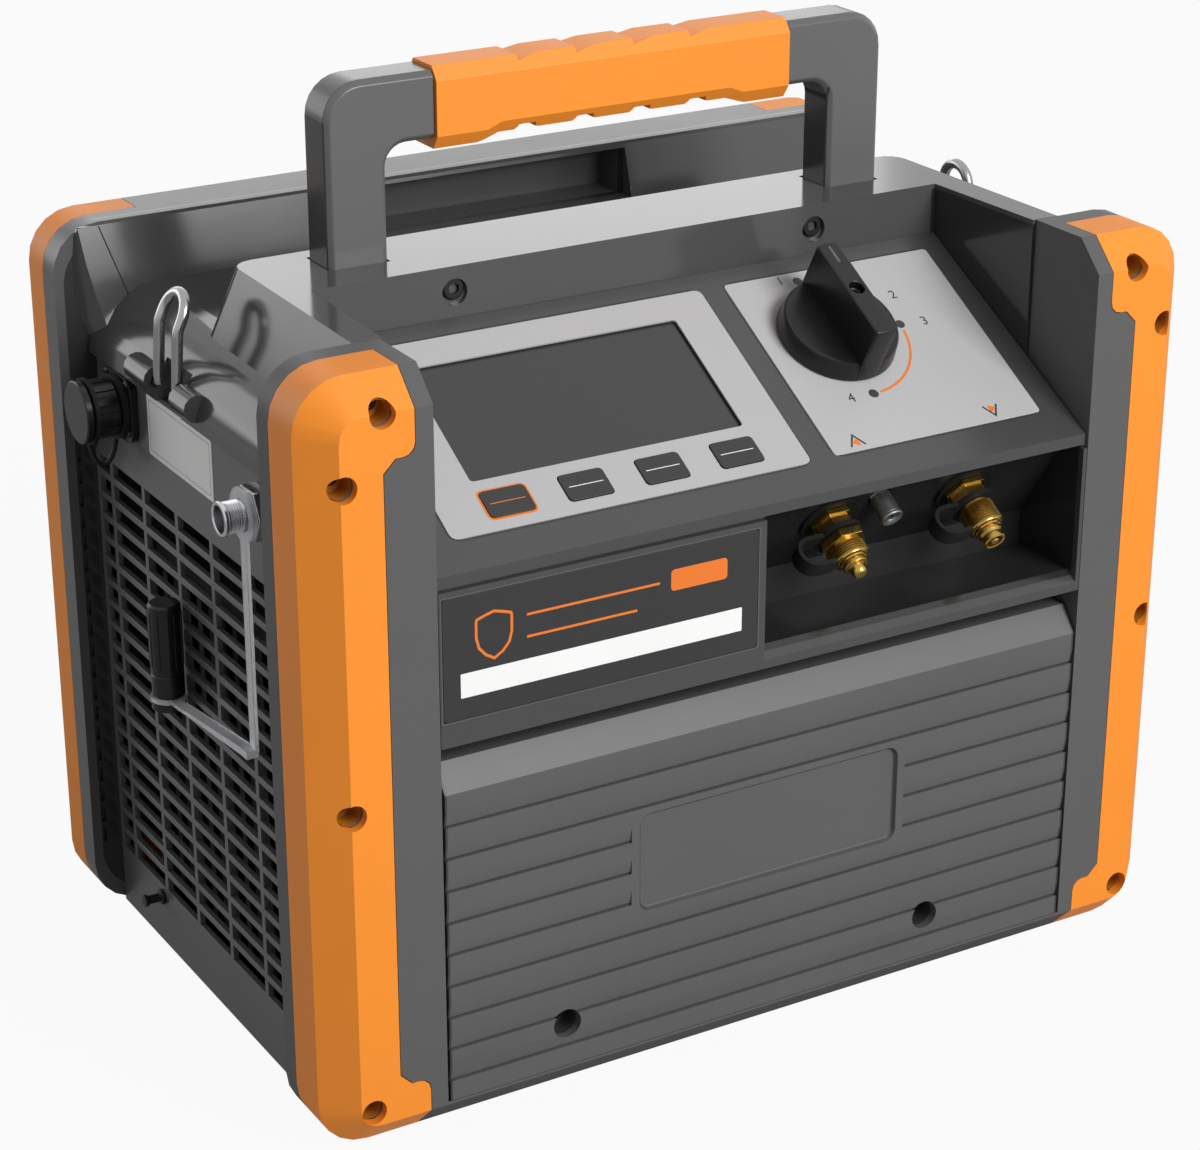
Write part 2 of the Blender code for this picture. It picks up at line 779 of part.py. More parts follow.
DISPLAY_SHEET = ((-0.136, 0.0236), (0.0148, 0.1116))
DISPLAY_WINDOW = ((-0.1166, 0.005), (0.0394, 0.0986))
VALVE_SHEET = ((0.035, 0.1366), (0.0156, 0.1116))
WINDOW_RECESS = 0.0012
LENS_THICKNESS = 0.0018
KEY_NAMES = ("key_start_stop", "key_pressure_switch", "key_units", "key_cancel")
KEY_FIRST = -0.1069
KEY_PITCH = 0.034
KEY_LEVEL = 0.0271
KEY_WIDTH = 0.0196
KEY_HEIGHT = 0.013
KEY_PROUD = 0.0006
KEY_THICKNESS = 0.004
KNOB_CENTRE = (0.0688, 0.0741)
KNOB_RADIUS = 0.0255
KNOB_SKIRT = 0.0085
KNOB_HEIGHT = 0.028
KNOB_GRIP = 0.010
KNOB_LIFT = 0.0008
STEM_RADIUS = 0.004
STEM_IN_KNOB = 0.010
STEM_IN_BLOCK = 0.014


def on_panel(x=0.0, up=0.0):
    """A frame on the sloped panel: X across, Y up the slope, Z out of it."""
    frame = Matrix((Vector((1, 0, 0)), PANEL_UP, PANEL_OUT)).transposed().to_4x4()
    frame.translation = PANEL_FOOT + Vector((x, 0, 0)) + PANEL_UP * up
    return frame


def panel_plate(name, x, up, radius, low, high, surface=DARK_SHELL, steps=3):
    """A rounded rectangle on the sloped panel, between two levels."""
    plate = extruded(name, box_outline(x, up, radius, steps), "Z", low, high, surface)
    plate.matrix_world = on_panel()
    return plate


def grown(span, gap):
    return (span[0] - gap, span[1] + gap)


def key_spans(index):
    middle = KEY_FIRST + index * KEY_PITCH
    across = (middle - KEY_WIDTH / 2, middle + KEY_WIDTH / 2)
    return across, (KEY_LEVEL - KEY_HEIGHT / 2, KEY_LEVEL + KEY_HEIGHT / 2)


def sheet_pocket(name, spans, radius):
    low = SHEET_PROUD - SHEET_THICKNESS - FIT_GAP
    return panel_plate(
        name, grown(spans[0], FIT_GAP), grown(spans[1], FIT_GAP), radius, low, 0.005
    )


def control_fascia():
    """The front moulding: sloped panel, lip, badge wall, and the recess for the fittings."""
    wide = OPENING_HALF_WIDTH - FIT_GAP
    uncut = wide + 0.002
    end = PANEL_FOOT + PANEL_UP * PANEL_LENGTH
    under = end - PANEL_OUT * PANEL_WALL
    lip_low = height(LIP_HEIGHT - LIP_THICKNESS)
    under_lip = PANEL_FOOT + PANEL_UP * PANEL_WALL - PANEL_OUT * PANEL_WALL
    sloped = [
        (PANEL_FOOT.y, lip_low),
        (PANEL_FOOT.y, PANEL_FOOT.z),
        (end.y, end.z),
        (under.y, under.z),
        (under_lip.y + WALL, under_lip.z + WALL * math.tan(PANEL_SLOPE)),
        (under_lip.y + WALL, lip_low),
    ]
    fascia = extruded("control_fascia", sloped, "X", -uncut, uncut, GREY_SHELL)
    shelf_low = height(SHELF_HEIGHT - SHELF_THICKNESS)
    lip_front = height(SHELF_HEIGHT - SHELF_LIP_HEIGHT)
    wall_back = FRONT + WALL * 2
    wall = block(
        "badge_wall", (-uncut, uncut), (FRONT, wall_back), (shelf_low, lip_low - BADGE_GAP)
    )
    tie = block(
        "badge_tie",
        (-uncut, RECESS_LEFT),
        (FRONT + WALL, wall_back - WALL * 0.2),
        (lip_low - BADGE_GAP * 3, lip_low + 0.002),
    )
    join(fascia, wall, tie)
    deep = depth(RECESS_DEPTH)
    foot = height(SHELF_HEIGHT + FACE_FOOT_HEIGHT)
    lean = (lip_low - foot) * math.tan(FITTING_TILT)
    face_back = deep - lean + WALL / math.cos(FITTING_TILT)
    behind = (face_back - PANEL_FOOT.y) * math.tan(PANEL_SLOPE)
    inside_panel = PANEL_FOOT.z + behind - PANEL_WALL / 2 / math.cos(PANEL_SLOPE)
    in_lip = PANEL_FOOT.y + 0.0032
    housing = extruded(
        "recess_housing",
        [
            (wall_back - WALL, shelf_low + 0.001),
            (deep + WALL, shelf_low + 0.001),
            (deep + WALL, foot),
            (face_back, lip_low),
            (face_back, inside_panel),
            (in_lip, lip_low + 0.003),
            (in_lip, lip_low - BADGE_GAP * 2),
            (wall_back - WALL, lip_low - BADGE_GAP * 3),
        ],
        "X",
        RECESS_LEFT - WALL,
        uncut,
    )
    join(fascia, housing)
    recess = extruded(
        "recess",
        [
            (FRONT - 0.010, lip_front),
            (FRONT, lip_front),
            (FRONT + SHELF_CHAMFER, height(SHELF_HEIGHT)),
            (deep, height(SHELF_HEIGHT)),
            (deep, foot),
            (deep - lean, lip_low + FIT_GAP),
            (FRONT - 0.010, lip_low + FIT_GAP),
        ],
        "X",
        RECESS_LEFT,
        wide - RECESS_END_WALL,
    )
    cut(fascia, recess)
    common(fascia, control_well("fascia_sides", FIT_GAP, 0, TOP, -FIT_GAP * 2))
    cut(fascia, badge_pocket(FIT_GAP))
    cut(fascia, sheet_pocket("display_pocket", DISPLAY_SHEET, 0.003))
    cut(fascia, sheet_pocket("valve_pocket", VALVE_SHEET, 0.0016))
    lens_floor = -WINDOW_RECESS - LENS_THICKNESS - FIT_GAP
    lens_pocket = panel_plate(
        "lens_pocket",
        grown(DISPLAY_WINDOW[0], FIT_GAP),
        grown(DISPLAY_WINDOW[1], FIT_GAP),
        0.0015,
        lens_floor,
        0.005,
    )
    cut(fascia, lens_pocket)
    for index, name in enumerate(KEY_NAMES):
        cut(fascia, key_hole(name + "_well", index))
    cut(fascia, rod("stem_hole", STEM_RADIUS + FIT_GAP, -0.010, 0.010, on_panel(*KNOB_CENTRE)))
    for name, x, level, radius in FITTING_HOLES:
        cut(fascia, rod(name, radius + FIT_GAP, -0.008, 0.004, on_face(x, level)))
    return fascia


BADGE_GAP = 0.0009
BADGE = ((-0.1484, -0.0102), (0.177, 0.2266))
BADGE_THICKNESS = 0.0012
BADGE_PROUD = 0.0002


def badge_pocket(gap):
    outline = box_outline(
        grown(BADGE[0], gap), grown((height(BADGE[1][0]), height(BADGE[1][1])), gap), 0.0015, 3
    )
    back = FRONT - BADGE_PROUD + BADGE_THICKNESS + gap
    return extruded("badge_pocket", outline, "Y", FRONT - 0.005, back)


def badge_plate():
    outline = box_outline(BADGE[0], (height(BADGE[1][0]), height(BADGE[1][1])), 0.0015, 3)
    front = FRONT - BADGE_PROUD
    return extruded("badge_plate", outline, "Y", front, front + BADGE_THICKNESS, DARK_SHELL)


def key_hole(name, index):
    across, up = key_spans(index)
    return panel_plate(
        name, grown(across, FIT_GAP), grown(up, FIT_GAP), 0.002, -PANEL_WALL - 0.003, 0.005
    )


def display_sheet():
    low = SHEET_PROUD - SHEET_THICKNESS
    sheet = panel_plate(
        "display_overlay", *DISPLAY_SHEET, 0.003, low, SHEET_PROUD, PALE_SHEET
    )
    window = panel_plate("overlay_window", *DISPLAY_WINDOW, 0.0015, -0.005, 0.005)
    cut(sheet, window)
    for index, name in enumerate(KEY_NAMES):
        cut(sheet, key_hole(name + "_hole", index))
    return sheet


def display_lens():
    low = -WINDOW_RECESS - LENS_THICKNESS
    return panel_plate("display_window", *DISPLAY_WINDOW, 0.0015, low, -WINDOW_RECESS, DARK_LENS)


def valve_sheet():
    low = SHEET_PROUD - SHEET_THICKNESS
    sheet = panel_plate("valve_overlay", *VALVE_SHEET, 0.0016, low, SHEET_PROUD, PALE_SHEET)
    return cut(sheet, rod("overlay_hole", STEM_RADIUS + FIT_GAP, -0.005, 0.005, on_panel(*KNOB_CENTRE)))


def key(name, index):
    """A key cap, with its origin in the middle of its face."""
    top = SHEET_PROUD + KEY_PROUD
    cap = extruded(
        name,
        box_outline((-KEY_WIDTH / 2, KEY_WIDTH / 2), (-KEY_HEIGHT / 2, KEY_HEIGHT / 2), 0.002, 3),
        "Z",
        top - KEY_THICKNESS,
        top,
        BLACK_PLASTIC,
    )
    cap.matrix_world = on_panel(KEY_FIRST + index * KEY_PITCH, KEY_LEVEL)
    return cap


def valve_knob():
    """The pointer knob: a low round skirt with a tall bar across it."""
    low = SHEET_PROUD + KNOB_LIFT
    skirt_top = low + KNOB_SKIRT
    top = low + KNOB_HEIGHT
    frame = on_panel(*KNOB_CENTRE)
    skirt = [
        (0, skirt_top),
        (KNOB_RADIUS - 0.0012, skirt_top),
        (KNOB_RADIUS - 0.0002, skirt_top - 0.0010),
        (KNOB_RADIUS, low),
        (0, low),
    ]
    knob = turned("valve_knob", skirt, frame, BLACK_PLASTIC, 32)
    bar = extruded(
        "knob_bar",
        box_outline((-KNOB_GRIP / 2, KNOB_GRIP / 2), (-KNOB_RADIUS * 1.1, KNOB_RADIUS * 1.1)),
        "Z",
        low + 0.0006,
        top,
    )
    bar.matrix_world = frame
    rim = rod("knob_rim", KNOB_RADIUS + 0.0003, low, top + 0.010, frame, steps=32)
    join(knob, common(bar, rim))
    cut(knob, rod("knob_screw_hole", 0.0032, top - 0.004, top + 0.004, frame, steps=16))
    cut(knob, rod("knob_bore", STEM_RADIUS + FIT_GAP, low - 0.004, low + STEM_IN_KNOB + FIT_GAP, frame))
    return knob


def valve_stem():
    low = -PANEL_WALL - FIT_GAP - STEM_IN_BLOCK
    high = SHEET_PROUD + KNOB_LIFT + STEM_IN_KNOB
    return rod("valve_stem", STEM_RADIUS, low, high, on_panel(*KNOB_CENTRE), STEEL)


BLOCK_SIZE = (0.056, 0.052, 0.026)


def valve_block():
    """The manifold under the valve, hung from the sloped panel."""
    x, up = KNOB_CENTRE
    top = -PANEL_WALL - FIT_GAP
    manifold = extruded(
        "valve_block",
        box_outline(
            (x - BLOCK_SIZE[0] / 2, x + BLOCK_SIZE[0] / 2),
            (up - BLOCK_SIZE[1] / 2, up + BLOCK_SIZE[1] / 2),
            0.003,
            3,
        ),
        "Z",
        top - BLOCK_SIZE[2],
        top,
        ALUMINIUM,
    )
    manifold.matrix_world = on_panel()
    bore = rod(
        "block_bore", STEM_RADIUS + FIT_GAP, top - STEM_IN_BLOCK - FIT_GAP, top + 0.004,
        on_panel(*KNOB_CENTRE),
    )
    return cut(manifold, bore)


BOARD_GAP = 0.0026
BOARD_THICKNESS = 0.0016
BOARD_MARGIN = 0.004


def control_board():
    """The circuit board under the display, on four stand-offs."""
    across, up = DISPLAY_SHEET
    top = -PANEL_WALL - FIT_GAP - BOARD_GAP
    board = panel_plate(
        "control_board",
        grown(across, -BOARD_MARGIN),
        grown(up, -BOARD_MARGIN),
        0.002,
        top - BOARD_THICKNESS,
        top,
        CIRCUIT_GREEN,
    )
    inset = BOARD_MARGIN * 2.5
    count = 0
    for x in (across[0] + inset, across[1] - inset):
        for level in (up[0] + inset * 0.6, up[1] - inset * 0.6):
            count += 1
            stand_off = rod(
                "stand_off_%d" % count, 0.0025, top - BOARD_THICKNESS / 2, top + BOARD_GAP,
                on_panel(x, level), steps=8,
            )
            join(board, stand_off)
    return board


# The hose fittings in the recess

FITTING_LENGTH = 0.0285
FITTING_SHANK = 0.0055
FITTING_THREAD = 0.0078
FITTING_RING = 0.0053
INLET_X = 0.0385
OUTLET_X = 0.1049
FITTING_LEVEL = 0.2131
RELIEF_X = 0.060
RELIEF_LEVEL = 0.2195
RELIEF_RADIUS = 0.0048
RELIEF_LENGTH = 0.0112
FITTING_HOLES = (
    ("inlet_hole_in_face", INLET_X, FITTING_LEVEL, FITTING_SHANK),
    ("outlet_hole_in_face", OUTLET_X, FITTING_LEVEL, FITTING_SHANK),
    ("relief_hole_in_face", RELIEF_X, RELIEF_LEVEL, RELIEF_RADIUS),
)
NUT_THICKNESS = 0.003
NUT_FLATS = 0.017
NECK_FLATS = 0.0105
NECK_END = 0.0078
COLLAR_END = 0.0102


def on_face(x, level):
    """A frame on the leaning face of the recess, with Z out of the face."""
    foot = SHELF_HEIGHT + FACE_FOOT_HEIGHT
    y = depth(RECESS_DEPTH) - (level - foot) * math.tan(FITTING_TILT)
    out = (0, -math.cos(FITTING_TILT), -math.sin(FITTING_TILT))
    return facing(out, (x, y, height(level)))


def flare_fitting(name, x, with_hex):
    """A brass flare fitting: shank through the wall, neck, thread and nose."""
    frame = on_face(x, FITTING_LEVEL)
    tip = FITTING_LENGTH
    profile = [
        (0, tip),
        (0.0026, tip),
        (0.0032, tip - 0.0010),
        (0.0033, tip - 0.0038),
        (FITTING_RING, tip - 0.0042),
        (FITTING_RING, tip - 0.0070),
        (FITTING_THREAD, tip - 0.0078),
        (FITTING_THREAD, COLLAR_END + 0.0006),
        (FITTING_SHANK, COLLAR_END),
        (FITTING_SHANK, -WALL * 4),
        (0, -WALL * 4),
    ]
    fitting = turned(name, profile, frame, BRASS, 18)
    if with_hex:
        join(fitting, hex_bar(name + "_hex", 0.0172, COLLAR_END + 0.0003, COLLAR_END + 0.0040, frame))
    return fitting


def fitting_nut(name, x):
    """The hex nut that holds a fitting against the face."""
    frame = on_face(x, FITTING_LEVEL)
    nut = hex_bar(name, NUT_FLATS, FIT_GAP, FIT_GAP + NUT_THICKNESS, frame)
    join(nut, hex_bar(name + "_neck", NECK_FLATS + 0.004, FIT_GAP + NUT_THICKNESS * 0.5, NECK_END, frame))
    return cut(nut, rod(name + "_bore", FITTING_SHANK + FIT_GAP, -0.004, 0.020, frame))


STRAP_THICKNESS = 0.0018
STRAP_WIDTH = 0.0078
STRAP_BEND = 0.0062


def cap_strap(name, x):
    """The rubber strap round a fitting's neck, bent back in a loop beside it."""
    frame = on_face(x, FITTING_LEVEL)
    low = NECK_END + FIT_GAP
    ring = turned(
        name,
        [
            (FITTING_THREAD + 0.0022, COLLAR_END - FIT_GAP),
            (FITTING_THREAD + 0.0022, low),
            (FITTING_SHANK + FIT_GAP, low),
            (FITTING_SHANK + FIT_GAP, COLLAR_END - FIT_GAP),
            (FITTING_THREAD + 0.0022, COLLAR_END - FIT_GAP),
        ],
        frame,
        BLACK_RUBBER,
    )
    start = -FITTING_THREAD - 0.0008
    turn = -0.0165
    centre = low + STRAP_THICKNESS / 2 + STRAP_BEND
    outer = []
    inner = []
    for step in range(9):
        angle = -math.pi / 2 - math.pi * step / 8
        for radius, points in (
            (STRAP_BEND + STRAP_THICKNESS / 2, outer),
            (STRAP_BEND - STRAP_THICKNESS / 2, inner),
        ):
            points.append((turn + radius * math.cos(angle), centre + radius * math.sin(angle)))
    finish_x = -FITTING_THREAD - 0.0014
    outline = [(start, outer[0][1])] + outer + [(finish_x, outer[-1][1])]
    outline += [(finish_x, inner[-1][1])] + inner[::-1] + [(start, inner[0][1])]
    loop = extruded(name + "_loop", outline, "Y", -STRAP_WIDTH / 2, STRAP_WIDTH / 2)
    loop.matrix_world = frame
    return join(ring, loop)


def relief_port():
    frame = on_face(RELIEF_X, RELIEF_LEVEL)
    length = RELIEF_LENGTH
    profile = [
        (0, length - 0.0012),
        (0.0028, length - 0.0012),
        (0.0030, length),
        (RELIEF_RADIUS - 0.0004, length),
        (RELIEF_RADIUS, length - 0.0006),
        (RELIEF_RADIUS, -WALL * 4),
        (0, -WALL * 4),
    ]
    return turned("relief_port", profile, frame, STEEL, 16)


# The ribbed front panel

BADGE_FRAME = ((-0.063, 0.0604), (0.0734, 0.1164))
BADGE_FRAME_DEPTH = 0.0018
BADGE_FRAME_DRAFT = 0.0013
BOARD_STOP_LEFT = -0.0668
BOARD_STOP_RIGHT = 0.064
FIRST_SHORT_RIB = 4
LAST_SHORT_RIB = 6
SCREW_HOLES = ((-0.0962, 0.0325), (0.0776, 0.0325))
SCREW_HOLE_RADIUS = 0.0062
SCREW_HOLE_DEPTH = 0.012


def badge_outline(inset):
    (left, right), (low, high) = BADGE_FRAME
    across = (left + inset, right - inset)
    return box_outline(across, (height(low) + inset, height(high) - inset), 0.005 - inset, 4)


def ribbed_panel():
    """The lower front panel: overlapping boards, a sloped top and a slot above it."""
    wide = OPENING_HALF_WIDTH - RIBBED_SIDE_GAP
    bottom = height(SILL_HEIGHT) + FIT_GAP
    top = height(RIBBED_TOP)
    slope_top = height(RIBBED_TOP + RIBBED_SLOPE_HEIGHT)
    roof = height(SHELF_HEIGHT - SHELF_THICKNESS) - FIT_GAP
    outline = [
        (FRONT, bottom),
        (FRONT, top),
        (FRONT + RIBBED_SLOPE_DEPTH, slope_top),
        (FRONT + SLOT_DEPTH, slope_top),
        (FRONT + SLOT_DEPTH, roof),
        (FRONT + SLOT_DEPTH + WALL, roof),
        (FRONT + SLOT_DEPTH + WALL, slope_top - WALL),
        (FRONT + RIBBED_SLOPE_DEPTH + WALL * 0.5, slope_top - WALL),
        (FRONT + RIBBED_THICKNESS, top - WALL),
        (FRONT + RIBBED_THICKNESS, bottom),
    ]
    panel = extruded("ribbed_panel", outline, "X", -wide, wide, GREY_SHELL)
    for index, (x, level) in enumerate(SCREW_HOLES):
        frame = facing((0, -1, 0), (x, FRONT, height(level)))
        boss = rod(
            "screw_boss_%d" % index, SCREW_HOLE_RADIUS + WALL, -SCREW_HOLE_DEPTH - WALL,
            -RIBBED_THICKNESS * 0.8, frame,
        )
        join(panel, boss)
    grooves = []
    for rib in range(RIB_COUNT):
        level = height(RIB_FIRST + rib * RIB_PITCH)
        wedge = [
            (FRONT - 0.002, level - RIB_LINE),
            (FRONT + RIB_LINE_DEPTH, level - RIB_LINE),
            (FRONT + RIB_LINE_DEPTH, level),
            (FRONT + RIB_DEPTH, level),
            (FRONT, level + RIB_TAPER),
            (FRONT - 0.002, level + RIB_TAPER),
        ]
        spans = [(-wide - 0.002, wide + 0.002)]
        if FIRST_SHORT_RIB <= rib <= LAST_SHORT_RIB:
            spans = [(-wide - 0.002, BOARD_STOP_LEFT), (BOARD_STOP_RIGHT, wide + 0.002)]
        for start, end in spans:
            grooves.append(extruded("groove", wedge, "X", start, end))
    cut(panel, grouped("grooves", grooves))
    recess = lofted(
        "badge_recess", badge_outline(BADGE_FRAME_DRAFT), badge_outline(-BADGE_FRAME_DRAFT),
        -BADGE_FRAME_DEPTH, BADGE_FRAME_DEPTH,
    )
    recess.matrix_world = Matrix.Translation((0, FRONT, 0)) @ Matrix.Rotation(math.radians(90), 4, "X")
    cut(panel, recess)
    for index, (x, level) in enumerate(SCREW_HOLES):
        frame = facing((0, -1, 0), (x, FRONT, height(level)))
        cut(panel, rod("screw_hole_%d" % index, SCREW_HOLE_RADIUS, -SCREW_HOLE_DEPTH, 0.005, frame))
    return panel


# The handle


def handle_frame():
    """The bent handle: two posts and a bar, narrowed where the grip is."""
    top = TOP + HANDLE_RISE
    low = TOP - WALL * 1.5 + FIT_GAP
    wide = HANDLE_HALF_WIDTH
    inner = wide - HANDLE_POST
    under = top - HANDLE_BAR_HEIGHT
    corners = [
        (-wide, low, 0),
        (-wide, top, HANDLE_BEND_OUTSIDE),
        (wide, top, HANDLE_BEND_OUTSIDE),
        (wide, low, 0),
        (inner, low, 0),
        (inner, under, HANDLE_BEND_INSIDE),
        (-inner, under, HANDLE_BEND_INSIDE),
        (-inner, low, 0),
    ]
    outline = [tuple(point) for point in rounded(corners, 6)]
    front = depth(HANDLE_FRONT)
    back = front + HANDLE_DEPTH
    handle = extruded("handle_frame", outline, "Y", front, back, GREY_SHELL)
    edges = handle.modifiers.new("soft_edges", "BEVEL")
    edges.width = 0.0022
    edges.segments = 1
    edges.limit_method = "ANGLE"
    edges.angle_limit = math.radians(60)
    reach = GRIP_HALF_LENGTH + FIT_GAP
    waist = block(
        "grip_space", (-reach, reach), (front - 0.005, back + 0.005), (under - 0.005, top + 0.005)
    )
    core = handle_core("handle_core", GRIP_HALF_LENGTH + 0.004, 0)
    return join(cut(handle, waist), core)


GRIP_WALL = 0.0045


def handle_core(name, reach, gap):
    """The part of the bar inside the grip."""
    front = depth(HANDLE_FRONT)
    top = TOP + HANDLE_RISE
    return block(
        name,
        (-reach, reach),
        (front + GRIP_WALL - gap, front + HANDLE_DEPTH - GRIP_WALL + gap),
        (top - HANDLE_BAR_HEIGHT + GRIP_WALL - gap, top - GRIP_WALL + gap),
        GREY_SHELL,
    )


GRIP_PROUD = 0.0015
GRIP_NOTCH = 0.0022
GRIP_NOTCH_PITCH = 0.0265
GRIP_NOTCHES = 4
GRIP_END = 0.018
GRIP_END_DROP = 0.003
GRIP_FACET = 0.0055


def handle_grip():
    """The faceted grip, with saw-tooth finger notches above and below."""
    top = TOP + HANDLE_RISE + GRIP_PROUD
    low = TOP + HANDLE_RISE - HANDLE_BAR_HEIGHT - GRIP_PROUD
    reach = GRIP_HALF_LENGTH
    front = depth(HANDLE_FRONT) - GRIP_PROUD
    back = front + HANDLE_DEPTH + GRIP_PROUD * 2
    low_edge = low - GRIP_END_DROP
    facet = GRIP_FACET
    section = [
        (front, low_edge + facet),
        (front + facet * 0.7, low_edge),
        (back - facet * 0.7, low_edge),
        (back, low_edge + facet),
        (back, top - facet),
        (back - facet * 0.7, top),
        (front + facet * 0.7, top),
        (front, top - facet),
    ]
    grip = extruded("handle_grip", section, "X", -reach, reach, ORANGE_GUARD)
    first = -(GRIP_NOTCHES - 1) / 2 * GRIP_NOTCH_PITCH
    run = GRIP_NOTCH_PITCH * 0.36
    beyond = 0.004
    under = [(-reach - beyond, low_edge - beyond / 2), (GRIP_END - reach, low_edge - 0.0005)]
    under += [(first - run * 1.4, low)]
    above = []
    for tooth in range(GRIP_NOTCHES):
        middle = first + tooth * GRIP_NOTCH_PITCH
        under += [(middle - run / 2, low), (middle - run / 2, low + GRIP_NOTCH)]
        under += [(middle + run / 2, low)]
        wedge = [
            (-middle - run / 2, top - GRIP_NOTCH),
            (-middle + run / 2, top),
            (-middle + run / 2, top + beyond),
            (-middle - run / 2, top + beyond),
        ]
        above.append(extruded("grip_notch", wedge, "Y", front - beyond, back + beyond))
    under += [(-first + run * 1.4, low), (reach - GRIP_END, low_edge - 0.0005)]
    under += [(reach + beyond, low_edge - beyond / 2)]
    under += [(reach + beyond, low_edge - beyond), (-reach - beyond, low_edge - beyond)]
    cut(grip, extruded("grip_underside", under, "Y", front - beyond, back + beyond))
    cut(grip, grouped("grip_notches", above))
    return cut(grip, handle_core("grip_bore", reach + 0.010, FIT_GAP))


# The left side: power inlet, sensor socket, drain and label band

INLET_Y = 0.2105
INLET_LEVEL = 0.2444
INLET_FLANGE = 0.028
INLET_FLANGE_THICKNESS = 0.003
INLET_BODY = 0.0108
INLET_REACH = 0.0150
CAP_END = 0.0217
CAP_START = 0.0062
CAP_RADIUS = 0.0122
CAP_DISC = 0.0132
SENSOR_Y = 0.0753
SENSOR_LEVEL = 0.2436
SENSOR_SHANK = 0.0064
SENSOR_NUT = 0.020
SENSOR_NUT_THICKNESS = 0.0068
SENSOR_REACH = 0.0187
EYELET_THICKNESS = 0.0020
DRAIN_Y = 0.1944
DRAIN_LEVEL = 0.023
DRAIN_STEM = 0.0020
DRAIN_REACH = 0.0092


def inlet_frame():
    return facing((-1, 0, 0), (-SIDE + BAND_SETBACK, depth(INLET_Y), height(INLET_LEVEL)))


def sensor_frame():
    return facing((-1, 0, 0), (-SIDE + BAND_SETBACK, depth(SENSOR_Y), height(SENSOR_LEVEL)))


def drain_frame():
    return facing((-1, 0, 0), (-SIDE, depth(DRAIN_Y), height(DRAIN_LEVEL)))


def power_inlet():
    """The flanged power socket, with a body through the side panel."""
    frame = inlet_frame()
    half = INLET_FLANGE / 2
    flange = extruded(
        "power_inlet",
        box_outline((-half, half), (-half, half), 0.006, 4),
        "Z",
        FIT_GAP,
        FIT_GAP + INLET_FLANGE_THICKNESS,
        BLACK_PLASTIC,
    )
    flange.matrix_world = frame
    profile = [
        (0, INLET_REACH - 0.006),
        (INLET_BODY - 0.0016, INLET_REACH - 0.006),
        (INLET_BODY - 0.0016, INLET_REACH),
        (INLET_BODY, INLET_REACH),
        (INLET_BODY, -0.016),
        (0, -0.016),
    ]
    return join(flange, turned("inlet_body", profile, frame, BLACK_PLASTIC, 18))


def power_cap():
    """The screw cap over the power inlet, turning about the inlet's axis."""
    bore = INLET_BODY + FIT_GAP
    profile = [
        (0, CAP_END),
        (CAP_DISC - 0.0008, CAP_END),
        (CAP_DISC, CAP_END - 0.0008),
        (CAP_DISC, CAP_END - 0.0030),
        (CAP_RADIUS - 0.0006, CAP_END - 0.0036),
        (CAP_RADIUS, CAP_END - 0.0070),
        (CAP_RADIUS, CAP_START),
        (bore, CAP_START),
        (bore, INLET_REACH + FIT_GAP),
        (0, INLET_REACH + FIT_GAP),
    ]
    return turned("power_cap", profile, inlet_frame(), BLACK_PLASTIC, 16)


def power_tether():
    """The cap's tether: a ring round the socket, a hanging loop and a ring round the cap."""
    frame = inlet_frame()
    ring_low = FIT_GAP * 2 + INLET_FLANGE_THICKNESS
    ring_high = CAP_START - FIT_GAP
    ring_outer = INLET_BODY + 0.0030
    tether = ring_solid("power_tether", INLET_BODY + FIT_GAP, ring_outer, ring_low, ring_high, frame)
    cap_ring_low = CAP_END - 0.0055
    cap_ring_high = CAP_END - 0.0038
    cap_outer = CAP_RADIUS + 0.0018
    cap_ring = ring_solid(
        "cap_ring", CAP_RADIUS + FIT_GAP, cap_outer, cap_ring_low, cap_ring_high, frame
    )
    start = Vector((-SIDE + BAND_SETBACK - (ring_low + ring_high) / 2, 0, -ring_outer + 0.0012))
    end = Vector((-SIDE + BAND_SETBACK - (cap_ring_low + cap_ring_high) / 2, 0, -cap_outer + 0.0010))
    centre = Vector((0, depth(INLET_Y), height(INLET_LEVEL)))
    points = []
    for step in range(10):
        share = step / 9
        place = start.lerp(end, share)
        bulge = math.sin(math.pi * share)
        place.z -= TETHER_DROP * bulge ** 0.6
        points.append(centre + place)
    return join(tether, cap_ring, wire("tether_loop", points, TETHER_RADIUS, BLACK_RUBBER, 1))


TETHER_DROP = 0.012
TETHER_RADIUS = 0.0011


def ring_solid(name, inner, outer, low, high, frame, surface=BLACK_RUBBER, steps=18):
    profile = [(outer, high), (outer, low), (inner, low), (inner, high), (outer, high)]
    return turned(name, profile, frame, surface, steps)


def sensor_socket():
    profile = [
        (0, SENSOR_REACH - 0.007),
        (0.0050, SENSOR_REACH - 0.007),
        (0.0054, SENSOR_REACH),
        (0.0068, SENSOR_REACH),
        (0.0070, SENSOR_REACH - 0.0015),
        (SENSOR_SHANK, SENSOR_REACH - 0.0022),
        (SENSOR_SHANK, -0.008),
        (0, -0.008),
    ]
    return turned("sensor_socket", profile, sensor_frame(), STEEL, 18)


def sensor_nut():
    frame = sensor_frame()
    nut = hex_bar("sensor_nut", SENSOR_NUT, FIT_GAP, FIT_GAP + SENSOR_NUT_THICKNESS, frame, STEEL)
    return cut(nut, rod("sensor_nut_bore", SENSOR_SHANK + FIT_GAP, -0.004, 0.012, frame))


